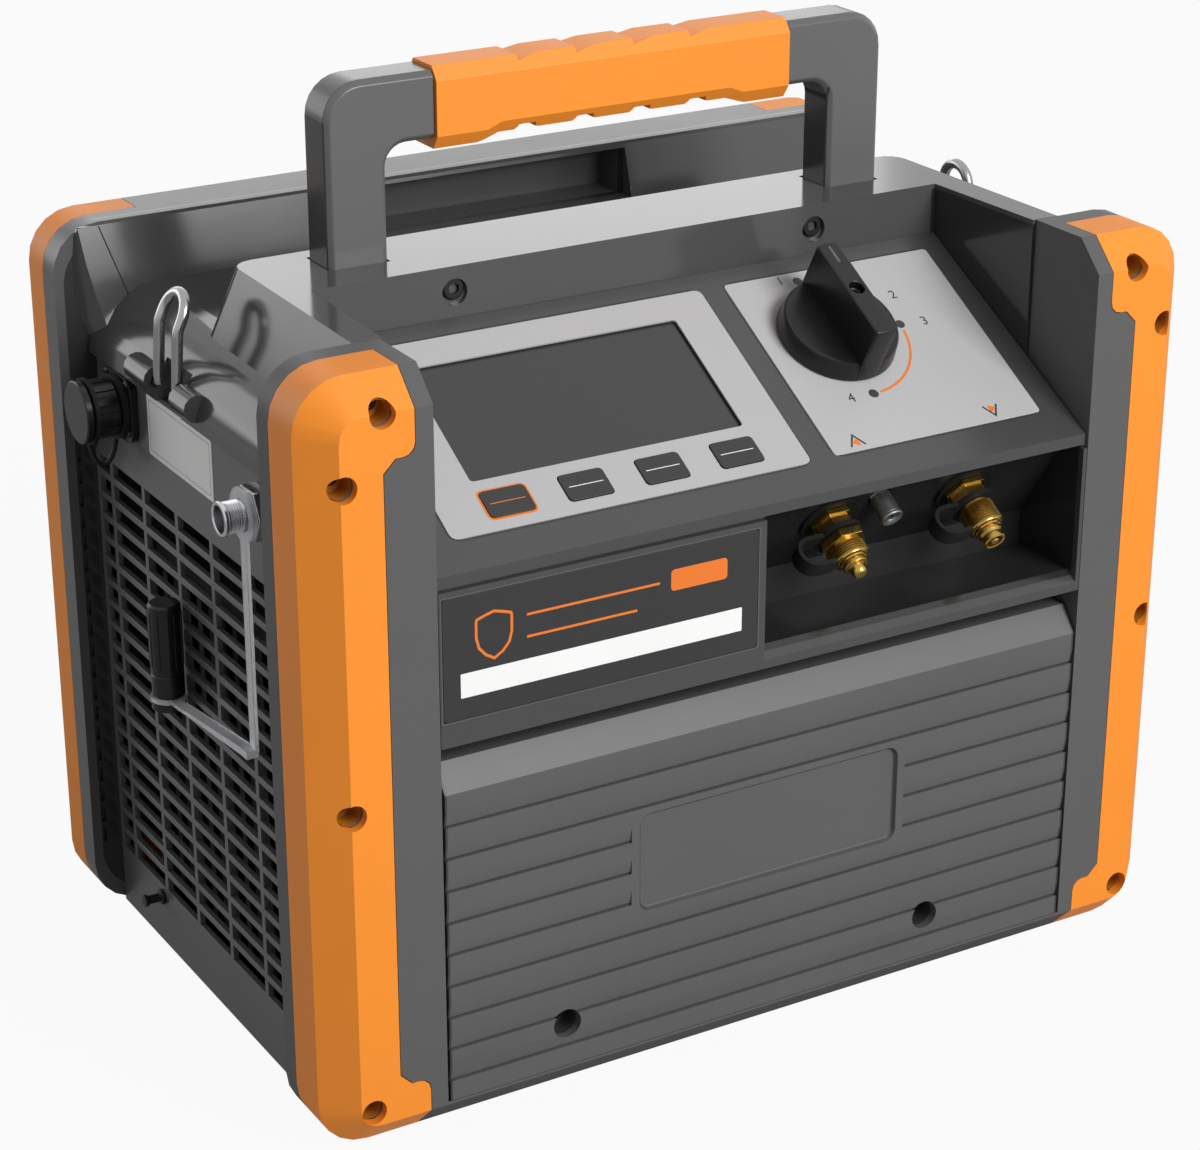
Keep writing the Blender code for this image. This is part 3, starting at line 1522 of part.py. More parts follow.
SENSOR_CAP_Y = 0.1542
SENSOR_CAP_LOW = 0.1325
SENSOR_CAP_HIGH = 0.179
SENSOR_CAP_RADIUS = 0.0068
SENSOR_CAP_OUT = 0.008
CAP_GROOVE = 0.0035
STRAP_ELBOW_LEVEL = 0.145
CLEAR_STRAP_WIDTH = 0.005
CLEAR_STRAP_THICKNESS = 0.0016


def cap_frame():
    place = (-SIDE - SENSOR_CAP_OUT, depth(SENSOR_CAP_Y), height(SENSOR_CAP_LOW))
    return Matrix.Translation(place)


def sensor_cap():
    """The loose plug cap that hangs from the clear strap, mouth down."""
    tall = SENSOR_CAP_HIGH - SENSOR_CAP_LOW
    groove = CAP_GROOVE
    profile = [
        (0, tall),
        (SENSOR_CAP_RADIUS - 0.001, tall),
        (SENSOR_CAP_RADIUS, tall - 0.001),
        (SENSOR_CAP_RADIUS, groove + CLEAR_STRAP_THICKNESS + FIT_GAP * 2),
        (SENSOR_CAP_RADIUS - 0.0012, groove + CLEAR_STRAP_THICKNESS + FIT_GAP * 2),
        (SENSOR_CAP_RADIUS - 0.0012, groove),
        (SENSOR_CAP_RADIUS + 0.0004, groove),
        (SENSOR_CAP_RADIUS + 0.0004, 0),
        (0.0048, 0),
        (0.0048, tall * 0.6),
        (0, tall * 0.6),
    ]
    return turned("sensor_cap", profile, cap_frame(), BLACK_PLASTIC, 16)


def sensor_strap():
    """The clear strap: an eyelet on the socket, a hanging run, an elbow and a ring."""
    eyelet_low = FIT_GAP * 2 + SENSOR_NUT_THICKNESS
    eyelet_high = eyelet_low + EYELET_THICKNESS
    strap = ring_solid(
        "sensor_strap",
        SENSOR_SHANK + FIT_GAP,
        0.011,
        eyelet_low,
        eyelet_high,
        sensor_frame(),
        CLEAR_PLASTIC,
    )
    face = -SIDE + BAND_SETBACK
    half = CLEAR_STRAP_WIDTH / 2
    middle_y = depth(SENSOR_Y)
    elbow = height(STRAP_ELBOW_LEVEL)
    x_in = face - eyelet_low - (EYELET_THICKNESS - CLEAR_STRAP_THICKNESS) / 2
    run = block(
        "strap_run",
        (x_in - CLEAR_STRAP_THICKNESS, x_in),
        (middle_y - half, middle_y + half),
        (elbow, height(SENSOR_LEVEL) - 0.009),
    )
    centre = cap_frame().translation
    thick = CLEAR_STRAP_THICKNESS
    ring_low = centre.z + CAP_GROOVE + FIT_GAP
    ring = ring_solid(
        "strap_ring",
        SENSOR_CAP_RADIUS - 0.0012 + FIT_GAP,
        SENSOR_CAP_RADIUS + 0.0008,
        0,
        thick,
        Matrix.Translation((centre.x, centre.y, ring_low)),
    )
    end_y = centre.y - SENSOR_CAP_RADIUS - 0.0002
    side_outline = [
        (middle_y - half * 1.2, elbow - thick),
        (middle_y + half, elbow - thick),
        (end_y, ring_low + thick * 0.1),
        (end_y, ring_low + thick * 0.9),
        (middle_y + half, elbow + thick),
        (middle_y - half * 1.2, elbow + thick),
    ]
    arm = extruded("strap_arm", side_outline, "X", centre.x - half * 0.9, centre.x + half * 1.1)
    return join(strap, run, arm, ring)


def drain_nozzle():
    profile = [
        (0, DRAIN_REACH),
        (0.0028, DRAIN_REACH),
        (0.0028, DRAIN_REACH - 0.0015),
        (DRAIN_STEM, DRAIN_REACH - 0.0022),
        (DRAIN_STEM, FIT_GAP + 0.0018),
        (0.0036, FIT_GAP + 0.0014),
        (0.0036, FIT_GAP),
        (DRAIN_STEM, FIT_GAP),
        (DRAIN_STEM, -0.006),
        (0, -0.006),
    ]
    return turned("drain_nozzle", profile, drain_frame(), BLACK_PLASTIC, 10)


# The wire bails on the shoulders

BAIL_BEND_RISE = 0.0255
BAIL_BEND_OUT = -0.0010
BAIL_TOP_RISE = 0.0385
BAIL_TOP_IN = 0.0070
BAIL_LEANS = {LEFT: 0, RIGHT: math.radians(25)}


def bail(side, word):
    """A chrome wire bail, with its pin ends in the two bosses. The right one lies further out."""
    half = BAIL_HALF_SPACING
    pin_end = BAIL_NOTCH_HALF + BAIL_PIN
    bend = Vector((side * BAIL_BEND_OUT, 0, BAIL_BEND_RISE))
    crest = Vector((-side * BAIL_TOP_IN, 0, BAIL_TOP_RISE))
    lean = (crest - bend).normalized()
    arc_centre = crest - lean * half
    leg = []
    leg.append(Vector((0, pin_end, 0)))
    leg.append(Vector((0, half + 0.003, 0)))
    leg.append(Vector((0, half + 0.0008, 0.0008)))
    leg.append(Vector((side * 0.0004, half, 0.003)))
    leg.append(bend * 0.86 + Vector((0, half, 0)))
    leg.append(bend + Vector((0, half, 0)) + lean * 0.0006)
    leg.append(bend + lean * 0.0038 + Vector((0, half, 0)))
    points = list(leg)
    for step in range(7):
        angle = math.pi * step / 6
        points.append(
            arc_centre + Vector((0, half * math.cos(angle), 0)) + lean * half * math.sin(angle)
        )
    points += [Vector((place.x, -place.y, place.z)) for place in reversed(leg)]
    swing = Matrix.Rotation(side * BAIL_LEANS[side], 3, "Y")
    points = [swing @ place for place in points]
    obj = wire("bail_" + word, points, BAIL_WIRE, STEEL, 2)
    obj.location = bail_place(side)
    return obj


# The floor of the case, its feet and what stands on it

TRAY_THICKNESS = 0.0025
TRAY_FLANGE = 0.008
FOOT_RADIUS = 0.012
FOOT_INSET_X = 0.056
FOOT_INSET_Y = 0.062
FOOT_STEM = 0.004
FOOT_HOLE = FOOT_STEM + FIT_GAP
TRAY_LIFT = 0.003


def tray_top():
    return height(TRAY_LIFT) + TRAY_THICKNESS


def base_tray():
    """The floor pan, with turned-up edges and holes for the feet."""
    wide = SIDE - PANEL_THICKNESS - FIT_GAP
    low = height(TRAY_LIFT)
    tray = block("base_tray", (-wide, wide), (SIDE_START, SIDE_END), (low, low + TRAY_FLANGE), ALUMINIUM)
    thick = TRAY_THICKNESS
    inside = block(
        "tray_inside",
        (-wide + thick, wide - thick),
        (SIDE_START + thick, SIDE_END - thick),
        (low + thick, low + TRAY_FLANGE + 0.010),
    )
    cut(tray, inside)
    for index, (x, y) in enumerate(foot_places()):
        cut(tray, rod("foot_hole_%d" % index, FOOT_HOLE, 0, 0.030, Matrix.Translation((x, y, 0)), steps=12))
    return tray


def foot_places():
    return [
        (side_x * (HALF - FOOT_INSET_X), end_y)
        for side_x in (LEFT, RIGHT)
        for end_y in (depth(FOOT_INSET_Y), BACK - FOOT_INSET_Y)
    ]


FOOT_NAMES = ("foot_front_left", "foot_rear_left", "foot_front_right", "foot_rear_right")


def foot(name, x, y):
    top = height(TRAY_LIFT) - FIT_GAP
    head = tray_top() + FIT_GAP
    profile = [
        (0, head + 0.003),
        (FOOT_STEM - 0.0012, head + 0.003),
        (FOOT_STEM, head + 0.0015),
        (FOOT_STEM, top),
        (FOOT_RADIUS, top),
        (FOOT_RADIUS - 0.0010, 0),
        (0, 0),
    ]
    return turned(name, profile, Matrix.Translation((x, y, 0)), BLACK_RUBBER, 12)


COMPRESSOR_X = -0.030
COMPRESSOR_Y = 0.120
CRANKCASE = (0.090, 0.084, 0.080)
CYLINDER_RADIUS = 0.027
CYLINDER_RISE = 0.052
CYLINDER_SPACING = 0.034
HEAD_HEIGHT = 0.012
MOTOR_RADIUS = 0.041
MOTOR_LENGTH = 0.080
SHAFT_LEVEL = 0.050


def compressor():
    """An oil-less two-cylinder compressor, standing on the tray."""
    base = tray_top() + FIT_GAP
    middle_y = depth(COMPRESSOR_Y)
    case = extruded(
        "compressor",
        box_outline(
            (COMPRESSOR_X - CRANKCASE[0] / 2, COMPRESSOR_X + CRANKCASE[0] / 2),
            (middle_y - CRANKCASE[1] / 2, middle_y + CRANKCASE[1] / 2),
            0.010,
        ),
        "Z",
        base,
        base + CRANKCASE[2],
        ALUMINIUM,
    )
    for index, end in enumerate((-1, 1)):
        place = (COMPRESSOR_X, middle_y + end * CYLINDER_SPACING / 1.25, base + CRANKCASE[2])
        low = -0.004
        head = CYLINDER_RISE - HEAD_HEIGHT
        profile = [
            (0, CYLINDER_RISE),
            (CYLINDER_RADIUS, CYLINDER_RISE),
            (CYLINDER_RADIUS, head),
            (CYLINDER_RADIUS * 0.8, head),
            (CYLINDER_RADIUS * 0.8, low),
            (0, low),
        ]
        join(case, turned("cylinder_%d" % index, profile, Matrix.Translation(place), ALUMINIUM, 16))
    return case


def drive_motor():
    """The motor beside the crankcase, on a foot of its own."""
    base = tray_top() + FIT_GAP
    start = COMPRESSOR_X + CRANKCASE[0] / 2 + FIT_GAP
    level = base + SHAFT_LEVEL
    frame = facing((1, 0, 0), (start, depth(COMPRESSOR_Y), level))
    profile = [
        (0, MOTOR_LENGTH),
        (MOTOR_RADIUS * 0.72, MOTOR_LENGTH),
        (MOTOR_RADIUS, MOTOR_LENGTH - 0.010),
        (MOTOR_RADIUS, 0.006),
        (MOTOR_RADIUS * 0.9, 0),
        (0, 0),
    ]
    motor = turned("drive_motor", profile, frame, STEEL, 20)
    middle_y = depth(COMPRESSOR_Y)
    leg = block(
        "motor_leg",
        (start + 0.012, start + MOTOR_LENGTH - 0.016),
        (middle_y - MOTOR_RADIUS * 0.8, middle_y + MOTOR_RADIUS * 0.8),
        (base, level - MOTOR_RADIUS * 0.4),
    )
    return join(motor, leg)


CONDENSER_THICKNESS = 0.026
CONDENSER_OUT = 0.004
CONDENSER_HEIGHT = 0.175
CONDENSER_LENGTH = 0.140
CONDENSER_FINS = 12


def condenser():
    """The finned coil behind the left grille, standing on the tray."""
    base = tray_top() + FIT_GAP
    outer = -SIDE + PANEL_THICKNESS + TRAY_THICKNESS + CONDENSER_OUT
    middle_y = (SIDE_START + SIDE_END) / 2
    start = middle_y - CONDENSER_LENGTH / 2
    end = middle_y + CONDENSER_LENGTH / 2
    coil = block(
        "condenser",
        (outer + 0.004, outer + CONDENSER_THICKNESS),
        (start, end),
        (base, base + CONDENSER_HEIGHT),
        ALUMINIUM,
    )
    fins = []
    pitch = (end - start) / CONDENSER_FINS
    for fin in range(CONDENSER_FINS):
        y = start + (fin + 0.25) * pitch
        fins.append(
            block("fin", (outer, outer + 0.010), (y, y + pitch * 0.4), (base + 0.006, base + CONDENSER_HEIGHT - 0.006))
        )
    return join(coil, grouped("condenser_fins", fins))


FAN_RADIUS = 0.066
FAN_HUB = 0.019
FAN_BLADES = 5
FAN_DEPTH = 0.016
FAN_LEVEL = 0.086
FAN_Y = CASE_DEPTH / 2 - 0.0005
FAN_CLEARANCE = 0.0015
SHROUD_WALL = 0.003
SHROUD_DEPTH = 0.024
FAN_SPINDLE = 0.004


def fan_place():
    return Vector((SIDE - PANEL_THICKNESS - 0.030, depth(FAN_Y), tray_top() + FAN_LEVEL))


def fan_bracket():
    """The square shroud behind the right grille, with the spider that carries the fan."""
    centre = fan_place()
    frame = facing((1, 0, 0), centre)
    bore = FAN_RADIUS + FAN_CLEARANCE
    half = bore + SHROUD_WALL
    base = tray_top() + FIT_GAP
    shroud = extruded(
        "fan_bracket",
        box_outline((centre.y - half, centre.y + half), (base, centre.z + half), 0.008),
        "X",
        centre.x - SHROUD_DEPTH / 2,
        centre.x + SHROUD_DEPTH / 2,
        BLACK_PLASTIC,
    )
    cut(shroud, rod("shroud_bore", bore, -0.030, 0.030, frame, steps=30))
    back = centre.x - SHROUD_DEPTH / 2
    for index, bar_half in enumerate(((bore + 0.001, 0.004), (0.004, bore + 0.001))):
        spider = block(
            "spider_%d" % index,
            (back, back + 0.003),
            (centre.y - bar_half[0], centre.y + bar_half[0]),
            (centre.z - bar_half[1], centre.z + bar_half[1]),
        )
        join(shroud, spider)
    low = -SHROUD_DEPTH / 2 + 0.0015
    join(shroud, rod("fan_spindle", FAN_SPINDLE, low, FAN_DEPTH / 4, frame, BLACK_PLASTIC, 16))
    return shroud


def fan():
    """The cooling fan: a hub with pitched blades, turning on its spindle."""
    centre = fan_place()
    frame = facing((1, 0, 0), centre)
    half = FAN_DEPTH / 2
    bore = FAN_SPINDLE + FIT_GAP
    hub = [
        (0, half),
        (FAN_HUB - 0.002, half),
        (FAN_HUB, half - 0.002),
        (FAN_HUB, -half),
        (bore, -half),
        (bore, FAN_DEPTH / 4 + FIT_GAP),
        (0, FAN_DEPTH / 4 + FIT_GAP),
    ]
    rotor = turned("cooling_fan", hub, frame, BLACK_PLASTIC, 20)
    blades = []
    for index in range(FAN_BLADES):
        blades.append(fan_blade(frame, math.tau * index / FAN_BLADES))
    blades = grouped("fan_blades", blades)
    common(blades, rod("fan_rim", FAN_RADIUS, -FAN_DEPTH, FAN_DEPTH, frame, steps=30))
    return join(rotor, blades)


def fan_blade(frame, angle):
    """A blade that twists from root to tip, as a box whose end faces are turned."""
    bm = bmesh.new()
    bmesh.ops.create_cube(bm, size=1)
    root = FAN_HUB - 0.003
    span = FAN_RADIUS - root
    bmesh.ops.scale(bm, vec=(span, 0.042, 0.0016), verts=bm.verts)
    bmesh.ops.translate(bm, vec=(root + span / 2, 0, 0), verts=bm.verts)
    bmesh.ops.subdivide_edges(
        bm, edges=[e for e in bm.edges if abs(e.verts[0].co.x - e.verts[1].co.x) > 1e-4], cuts=1
    )
    for vertex in bm.verts:
        share = (vertex.co.x - root) / span
        vertex.co.y *= 0.4 + 0.6 * share
        pitch = math.radians(38 - 18 * share)
        vertex.co.rotate(Matrix.Rotation(pitch, 3, "X"))
    bmesh.ops.rotate(bm, matrix=Matrix.Rotation(angle, 3, "Z"), verts=bm.verts)
    blade = add_mesh("blade", bm, BLACK_PLASTIC)
    blade.data.transform(frame)
    return blade


def build():
    front_frame()
    corner_guard("guard_front_left", LEFT, -1)
    corner_guard("guard_front_right", RIGHT, -1)
    corner_guard("guard_rear_left", LEFT, 1)
    corner_guard("guard_rear_right", RIGHT, 1)
    rear_cover()
    top_cover()
    side_panel(LEFT, "left")
    side_panel(RIGHT, "right")
    control_fascia()
    badge_plate()
    ribbed_panel()
    display_sheet()
    display_lens()
    valve_sheet()
    for index, name in enumerate(KEY_NAMES):
        key(name, index)
    valve_knob()
    valve_stem()
    valve_block()
    control_board()
    flare_fitting("inlet_fitting", INLET_X, True)
    flare_fitting("outlet_fitting", OUTLET_X, False)
    fitting_nut("inlet_nut", INLET_X)
    fitting_nut("outlet_nut", OUTLET_X)
    cap_strap("inlet_cap_strap", INLET_X)
    cap_strap("outlet_cap_strap", OUTLET_X)
    relief_port()
    handle_frame()
    handle_grip()
    power_inlet()
    power_cap()
    power_tether()
    sensor_socket()
    sensor_nut()
    sensor_strap()
    sensor_cap()
    drain_nozzle()
    bail(LEFT, "left")
    bail(RIGHT, "right")
    base_tray()
    for name, (x, y) in zip(FOOT_NAMES, foot_places()):
        foot(name, x, y)
    compressor()
    drive_motor()
    condenser()
    fan_bracket()
    fan()
    smooth_round_pieces()


def smooth_round_pieces():
    for obj in PARTS.objects:
        obj.data.shade_smooth()
        obj.data.set_sharp_from_angle(angle=math.radians(35))


build()
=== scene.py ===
# %% [markdown]
# # A portable refrigerant recovery machine
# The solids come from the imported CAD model, which is loaded as a fixed frame. Each step
# below dresses one group of them: it softens edges, cuts screw holes, adds threads, prints
# and small fasteners, and gives every surface a finish made of shader nodes.

import json
import math

import bpy
from mathutils import Matrix, Vector

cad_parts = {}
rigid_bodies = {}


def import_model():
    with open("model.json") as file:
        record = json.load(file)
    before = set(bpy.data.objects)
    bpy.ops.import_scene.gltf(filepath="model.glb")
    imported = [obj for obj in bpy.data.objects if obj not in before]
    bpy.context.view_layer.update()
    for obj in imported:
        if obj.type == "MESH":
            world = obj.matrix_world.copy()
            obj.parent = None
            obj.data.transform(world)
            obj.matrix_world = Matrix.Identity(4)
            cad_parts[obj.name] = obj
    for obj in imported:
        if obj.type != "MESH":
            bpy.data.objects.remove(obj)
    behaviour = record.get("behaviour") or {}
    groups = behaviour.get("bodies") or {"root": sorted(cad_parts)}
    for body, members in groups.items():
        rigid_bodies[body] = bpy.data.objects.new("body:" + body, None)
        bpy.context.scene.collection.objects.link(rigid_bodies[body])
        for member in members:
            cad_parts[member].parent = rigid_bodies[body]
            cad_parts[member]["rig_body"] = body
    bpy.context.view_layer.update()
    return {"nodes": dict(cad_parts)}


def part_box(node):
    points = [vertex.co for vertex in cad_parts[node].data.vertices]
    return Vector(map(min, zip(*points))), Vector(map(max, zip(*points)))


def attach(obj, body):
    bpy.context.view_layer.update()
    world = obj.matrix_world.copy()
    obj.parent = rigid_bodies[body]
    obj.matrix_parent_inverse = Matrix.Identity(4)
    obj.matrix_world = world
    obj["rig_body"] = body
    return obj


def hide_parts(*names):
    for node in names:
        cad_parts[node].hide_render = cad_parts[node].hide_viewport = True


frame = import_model()
nodes = frame["nodes"]
print("CAD nodes:", len(nodes))

# %% [markdown]
# ## Places on the machine
# Three flat places carry most of the detail: the front face, the sloped control panel and
# the leaning face behind the hose fittings. A matrix for each lets a print or a screw be
# given by its place across and up that face, as it would be on a drawing.

# %% Faces and directions
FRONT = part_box("front_frame")[0].y
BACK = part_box("rear_cover")[1].y
CASE_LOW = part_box("front_frame")[0].z
CASE_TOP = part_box("front_frame")[1].z
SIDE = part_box("side_panel_right")[1].x
PANEL_SLOPE = math.radians(29.5)
FACE_TILT = math.radians(34)
MM = 0.001


def facing(direction, place, across=None):
    """A matrix at a place, with Z along a direction and X as given, or level."""
    z = Vector(direction).normalized()
    guess = Vector((1, 0, 0)) if abs(z.x) < 0.5 else Vector((0, 1, 0))
    x = Vector(across) if across else guess
    y = z.cross(x).normalized()
    x = y.cross(z)
    matrix = Matrix((x, y, z)).transposed().to_4x4()
    matrix.translation = Vector(place)
    return matrix


def on_front(x, z):
    """A place on the front face, in mm across and above the underside of the case."""
    return facing((0, -1, 0), (x * MM, FRONT, CASE_LOW + z * MM), (1, 0, 0))


PANEL_OUT = Vector((0, -math.sin(PANEL_SLOPE), math.cos(PANEL_SLOPE)))
PANEL_UP = Vector((0, math.cos(PANEL_SLOPE), math.sin(PANEL_SLOPE)))
PANEL_FOOT = Vector((0, FRONT + 0.0015, CASE_LOW + 0.2353))


def on_panel(x, up):
    """A place on the sloped panel, in mm across and up the slope."""
    place = PANEL_FOOT + Vector((x * MM, 0, 0)) + PANEL_UP * up * MM
    return facing(PANEL_OUT, place, (1, 0, 0))


def on_face(x, level):
    """A place on the leaning face of the hose recess, with Z out of the face."""
    y = FRONT + 0.039 - (level - 189.7) * MM * math.tan(FACE_TILT)
    out = (0, -math.cos(FACE_TILT), -math.sin(FACE_TILT))
    return facing(out, (x * MM, y, CASE_LOW + level * MM))


print("front face at y =", round(FRONT, 4), "top at z =", round(CASE_TOP, 4))

# %% [markdown]
# ## Working by hand in Blender
# Most new pieces start as a primitive, are shaped in edit mode and are finished with
# modifiers. The helpers below do the steps that repeat: clearing the selection, applying
# modifiers, moving a piece's place into its mesh, and cleaning and shading it.

# %% Hand tools


def clear_selection():
    if bpy.context.object and bpy.context.object.mode != "OBJECT":
        bpy.ops.object.mode_set(mode="OBJECT")
    bpy.ops.object.select_all(action="DESELECT")


def take_up(obj):
    clear_selection()
    obj.select_set(True)
    bpy.context.view_layer.objects.active = obj
    return obj


def apply_place(obj):
    take_up(obj)
    bpy.ops.object.transform_apply(location=True, rotation=True, scale=True)
    return obj


def modify(obj, kind, **settings):
    """Adds a modifier with its settings and applies it at once."""
    take_up(obj)
    modifier = obj.modifiers.new(kind.lower(), kind)
    for setting, value in settings.items():
        setattr(modifier, setting, value)
    bpy.ops.object.modifier_apply(modifier=modifier.name)
    return obj


def smoothed(obj, angle=35):
    """Smooth edges below the angle, with the large faces kept flat to the eye."""
    take_up(obj)
    bpy.ops.object.shade_smooth_by_angle(angle=math.radians(angle))
    return modify(obj, "WEIGHTED_NORMAL", keep_sharp=True)


def tidy(obj, merge=1e-6):
    """Merges doubles, turns all faces outwards and shades the piece smooth by angle."""
    take_up(obj)
    bpy.ops.object.mode_set(mode="EDIT")
    bpy.ops.mesh.select_all(action="SELECT")
    bpy.ops.mesh.remove_doubles(threshold=merge)
    bpy.ops.mesh.normals_make_consistent(inside=False)
    bpy.ops.object.mode_set(mode="OBJECT")
    return smoothed(obj)


print("hand tools ready")

# %% [markdown]
# ## Names, bodies and copies
# A finished piece gets a name, a finish and the body that it moves with, and it may take the
# place of a solid. What repeats is modelled once and copied, each copy with its own mesh.

# %% Naming, joining and copying


def dressed(obj, name, finish, body="housing", stands_for=()):
    """Names a finished piece, gives it its finish and ties it to its body."""
    obj.name = name
    obj.data.name = name
    obj.data.materials.clear()
    obj.data.materials.append(finish)
    apply_place(obj)
    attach(obj, body)
    if stands_for:
        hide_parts(*stands_for)
    return obj


def joined(first, *others):
    """Several shapes as one object."""
    clear_selection()
    for obj in (first, *others):
        obj.select_set(True)
    bpy.context.view_layer.objects.active = first
    bpy.ops.object.join()
    return first


def copied(obj, matrix):
    """A copy with its own mesh, moved by a matrix."""
    twin = obj.copy()
    twin.data = obj.data.copy()
    bpy.context.scene.collection.objects.link(twin)
    twin.data.transform(matrix)
    return twin


def body_of(node):
    return nodes[node]["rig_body"]


print("pieces can be named, joined and copied")

# %% [markdown]
# ## Shader maths in Python
# A material is easier to read as a formula than as a web of nodes. Wire wraps one socket
# and lets Python's operators add the Math nodes, so that 1 - mask is one node.

# %% Wires


class Wire:
    """A socket of a material, combined by Python's operators."""

    def __init__(self, finish, socket):
        self.finish = finish
        self.socket = socket

    def math(self, operation, *values):
        return self.finish.node("ShaderNodeMath", {"operation": operation}, *values)

    def __add__(self, other):
        return self.math("ADD", self, other)

    def __sub__(self, other):
        return self.math("SUBTRACT", self, other)

    def __rsub__(self, other):
        return self.math("SUBTRACT", other, self)

    def __mul__(self, other):
        return self.math("MULTIPLY", self, other)

    def over(self, limit):
        return self.math("GREATER_THAN", self, limit)

    def size(self):
        return self.math("ABSOLUTE", self)

    def at_least(self, limit):
        return self.math("MAXIMUM", self, limit)

    def at_most(self, limit):
        return self.math("MINIMUM", self, limit)

    def root(self):
        return self.math("SQRT", self)

    def between(self, low, high):
        return self.over(low) * (1 - self.over(high))

    def ramp(self, low, high):
        """0 below the low value, 1 above the high one, and a straight run between."""
        return self.finish.node("ShaderNodeMapRange", {}, self, low, high)

    __radd__ = __add__
    __rmul__ = __mul__


print("wires ready")

# %% [markdown]
# ## One material
# Finish holds one material with its Principled shader. Its methods add nodes: the place on
# the piece, noise, a mix of two colours and a bump. Every material here is built from them.

# %% Finishes


class Finish:
    """A material with a Principled shader."""

    def __init__(self, name, colour, roughness, metallic=0.0, **sockets):
        self.material = bpy.data.materials.new(name)
        self.material.use_nodes = True
        self.tree = self.material.node_tree
        self.shader = self.tree.nodes["Principled BSDF"]
        self.shader.inputs["Base Color"].default_value = (*colour, 1)
        self.shader.inputs["Roughness"].default_value = roughness
        self.shader.inputs["Metallic"].default_value = metallic
        for socket, value in sockets.items():
            self.shader.inputs[socket.replace("_", " ")].default_value = value

    def node(self, kind, settings, *values, output=0, **named):
        made = self.tree.nodes.new(kind)
        for setting, value in settings.items():
            setattr(made, setting, value)
        for index, value in enumerate(values):
            self.fill(made.inputs[index], value)
        for socket, value in named.items():
            self.fill(made.inputs[socket.replace("_", " ")], value)
        return Wire(self, made.outputs[output])

    def fill(self, socket, value):
        if isinstance(value, Wire):
            self.tree.links.new(value.socket, socket)
        else:
            socket.default_value = value

    def feed(self, socket, wire):
        self.fill(self.shader.inputs[socket], wire)
        return self

    def place(self):
        return self.node("ShaderNodeTexCoord", {}, output=3)

    def axes(self):
        """The place on the piece as three wires."""
        split = self.node("ShaderNodeSeparateXYZ", {}, self.place())
        return [Wire(self, output) for output in split.socket.node.outputs]

    def noise(self, scale, detail=2.0, rough=0.5):
        return self.node(
            "ShaderNodeTexNoise", {}, Vector=self.place(), Scale=scale, Detail=detail, Roughness=rough
        )

    def mix(self, share, first, second):
        """A colour between two, by share."""
        made = self.tree.nodes.new("ShaderNodeMix")
        made.data_type = "RGBA"
        self.fill(made.inputs[0], share)
        self.fill(made.inputs[6], first)
        self.fill(made.inputs[7], second)
        return Wire(self, made.outputs[2])

    def bump(self, height, strength, distance):
        made = self.node("ShaderNodeBump", {}, Strength=strength, Distance=distance, Height=height)
        return self.feed("Normal", made)


print("finishes ready")

# %% [markdown]
# ## Moulded plastics
# The case is moulded plastic in several greys. A colour alone would look like paint, so a
# fine grain feeds the bump, and broad noise makes the colour and the gloss a little uneven.
# Polished or deep places get a mask worked out from their position on the machine, which paints shade
# into their colour and sets their own gloss.

# %% Plastics


def shade(colour, factor):
    return (*(channel * factor for channel in colour[:3]), 1)


def moulded(
    name, colour, roughness, grain=0.12, mottle=0.06, painted_shade_area=None, dark_gloss=None, shine=0.5
):
    """Moulded plastic: fine spark grain, slightly uneven gloss and a trace of handling.

    A painted shade area is a function from the piece's x, y and z to a mask, for polished or deep
    places; the mask darkens the colour there as painted shade and sets the gloss there.
    """
    finish = Finish(name, colour, roughness, Specular_IOR_Level=shine)
    fine = finish.noise(1500, 3)
    broad = finish.noise(11, 4)
    rubbed = finish.noise(70, 5, 0.65)
    gloss = broad * mottle + rubbed * mottle + (roughness - mottle)
    tint = finish.mix(broad, shade(colour, 0.93), shade(colour, 1.07))
    # Painted shade: where the mask is 1 the colour is darkened to 38 % and the gloss is set apart.
    if painted_shade_area:
        mask = painted_shade_area(*finish.axes())
        tint = finish.mix(mask, tint, shade(colour, 0.38))
        gloss = gloss + mask * (dark_gloss - roughness)
    finish.feed("Roughness", gloss)
    finish.feed("Base Color", tint)
    finish.bump(fine, grain, 0.0001)
    return finish.material


GREY = moulded("moulded_grey", (0.100, 0.100, 0.102), 0.46, grain=0.08)
FRAME_EDGE = moulded("edge_grey", (0.105, 0.105, 0.107), 0.26, grain=0.03, mottle=0.03)
SIDE_GREY = moulded("side_grey", (0.120, 0.120, 0.122), 0.30, grain=0.04)
DARK = moulded("moulded_dark", (0.036, 0.036, 0.037), 0.34, grain=0.06, shine=0.35)
BLACK = moulded("moulded_black", (0.008, 0.008, 0.009), 0.30, grain=0.05, shine=0.35)
ORANGE = moulded("guard_orange", (0.96, 0.29, 0.020), 0.50, grain=0.10, mottle=0.05)
# A darker orange for the cups that line the guard wells: painted shade inside each well.
WELL_SHADE_ORANGE = moulded("orange_painted_well_shade", (0.42, 0.15, 0.010), 0.55, grain=0.05)
RUBBER = moulded("black_rubber", (0.010, 0.010, 0.010), 0.58, grain=0.25, shine=0.2)
print("plastics:", [m.name for m in (GREY, SIDE_GREY, DARK, BLACK, ORANGE, RUBBER)])

# %% [markdown]
# ## Metals and sheets
# Machined brass has fine turning marks and darker patches where fingers touch it. Plated
# steel is bright with a few dull spots. The panel sheets are printed polyester with a fine
# texture, and the display's lens is the same sheet left smooth.

# %% Metal finishes


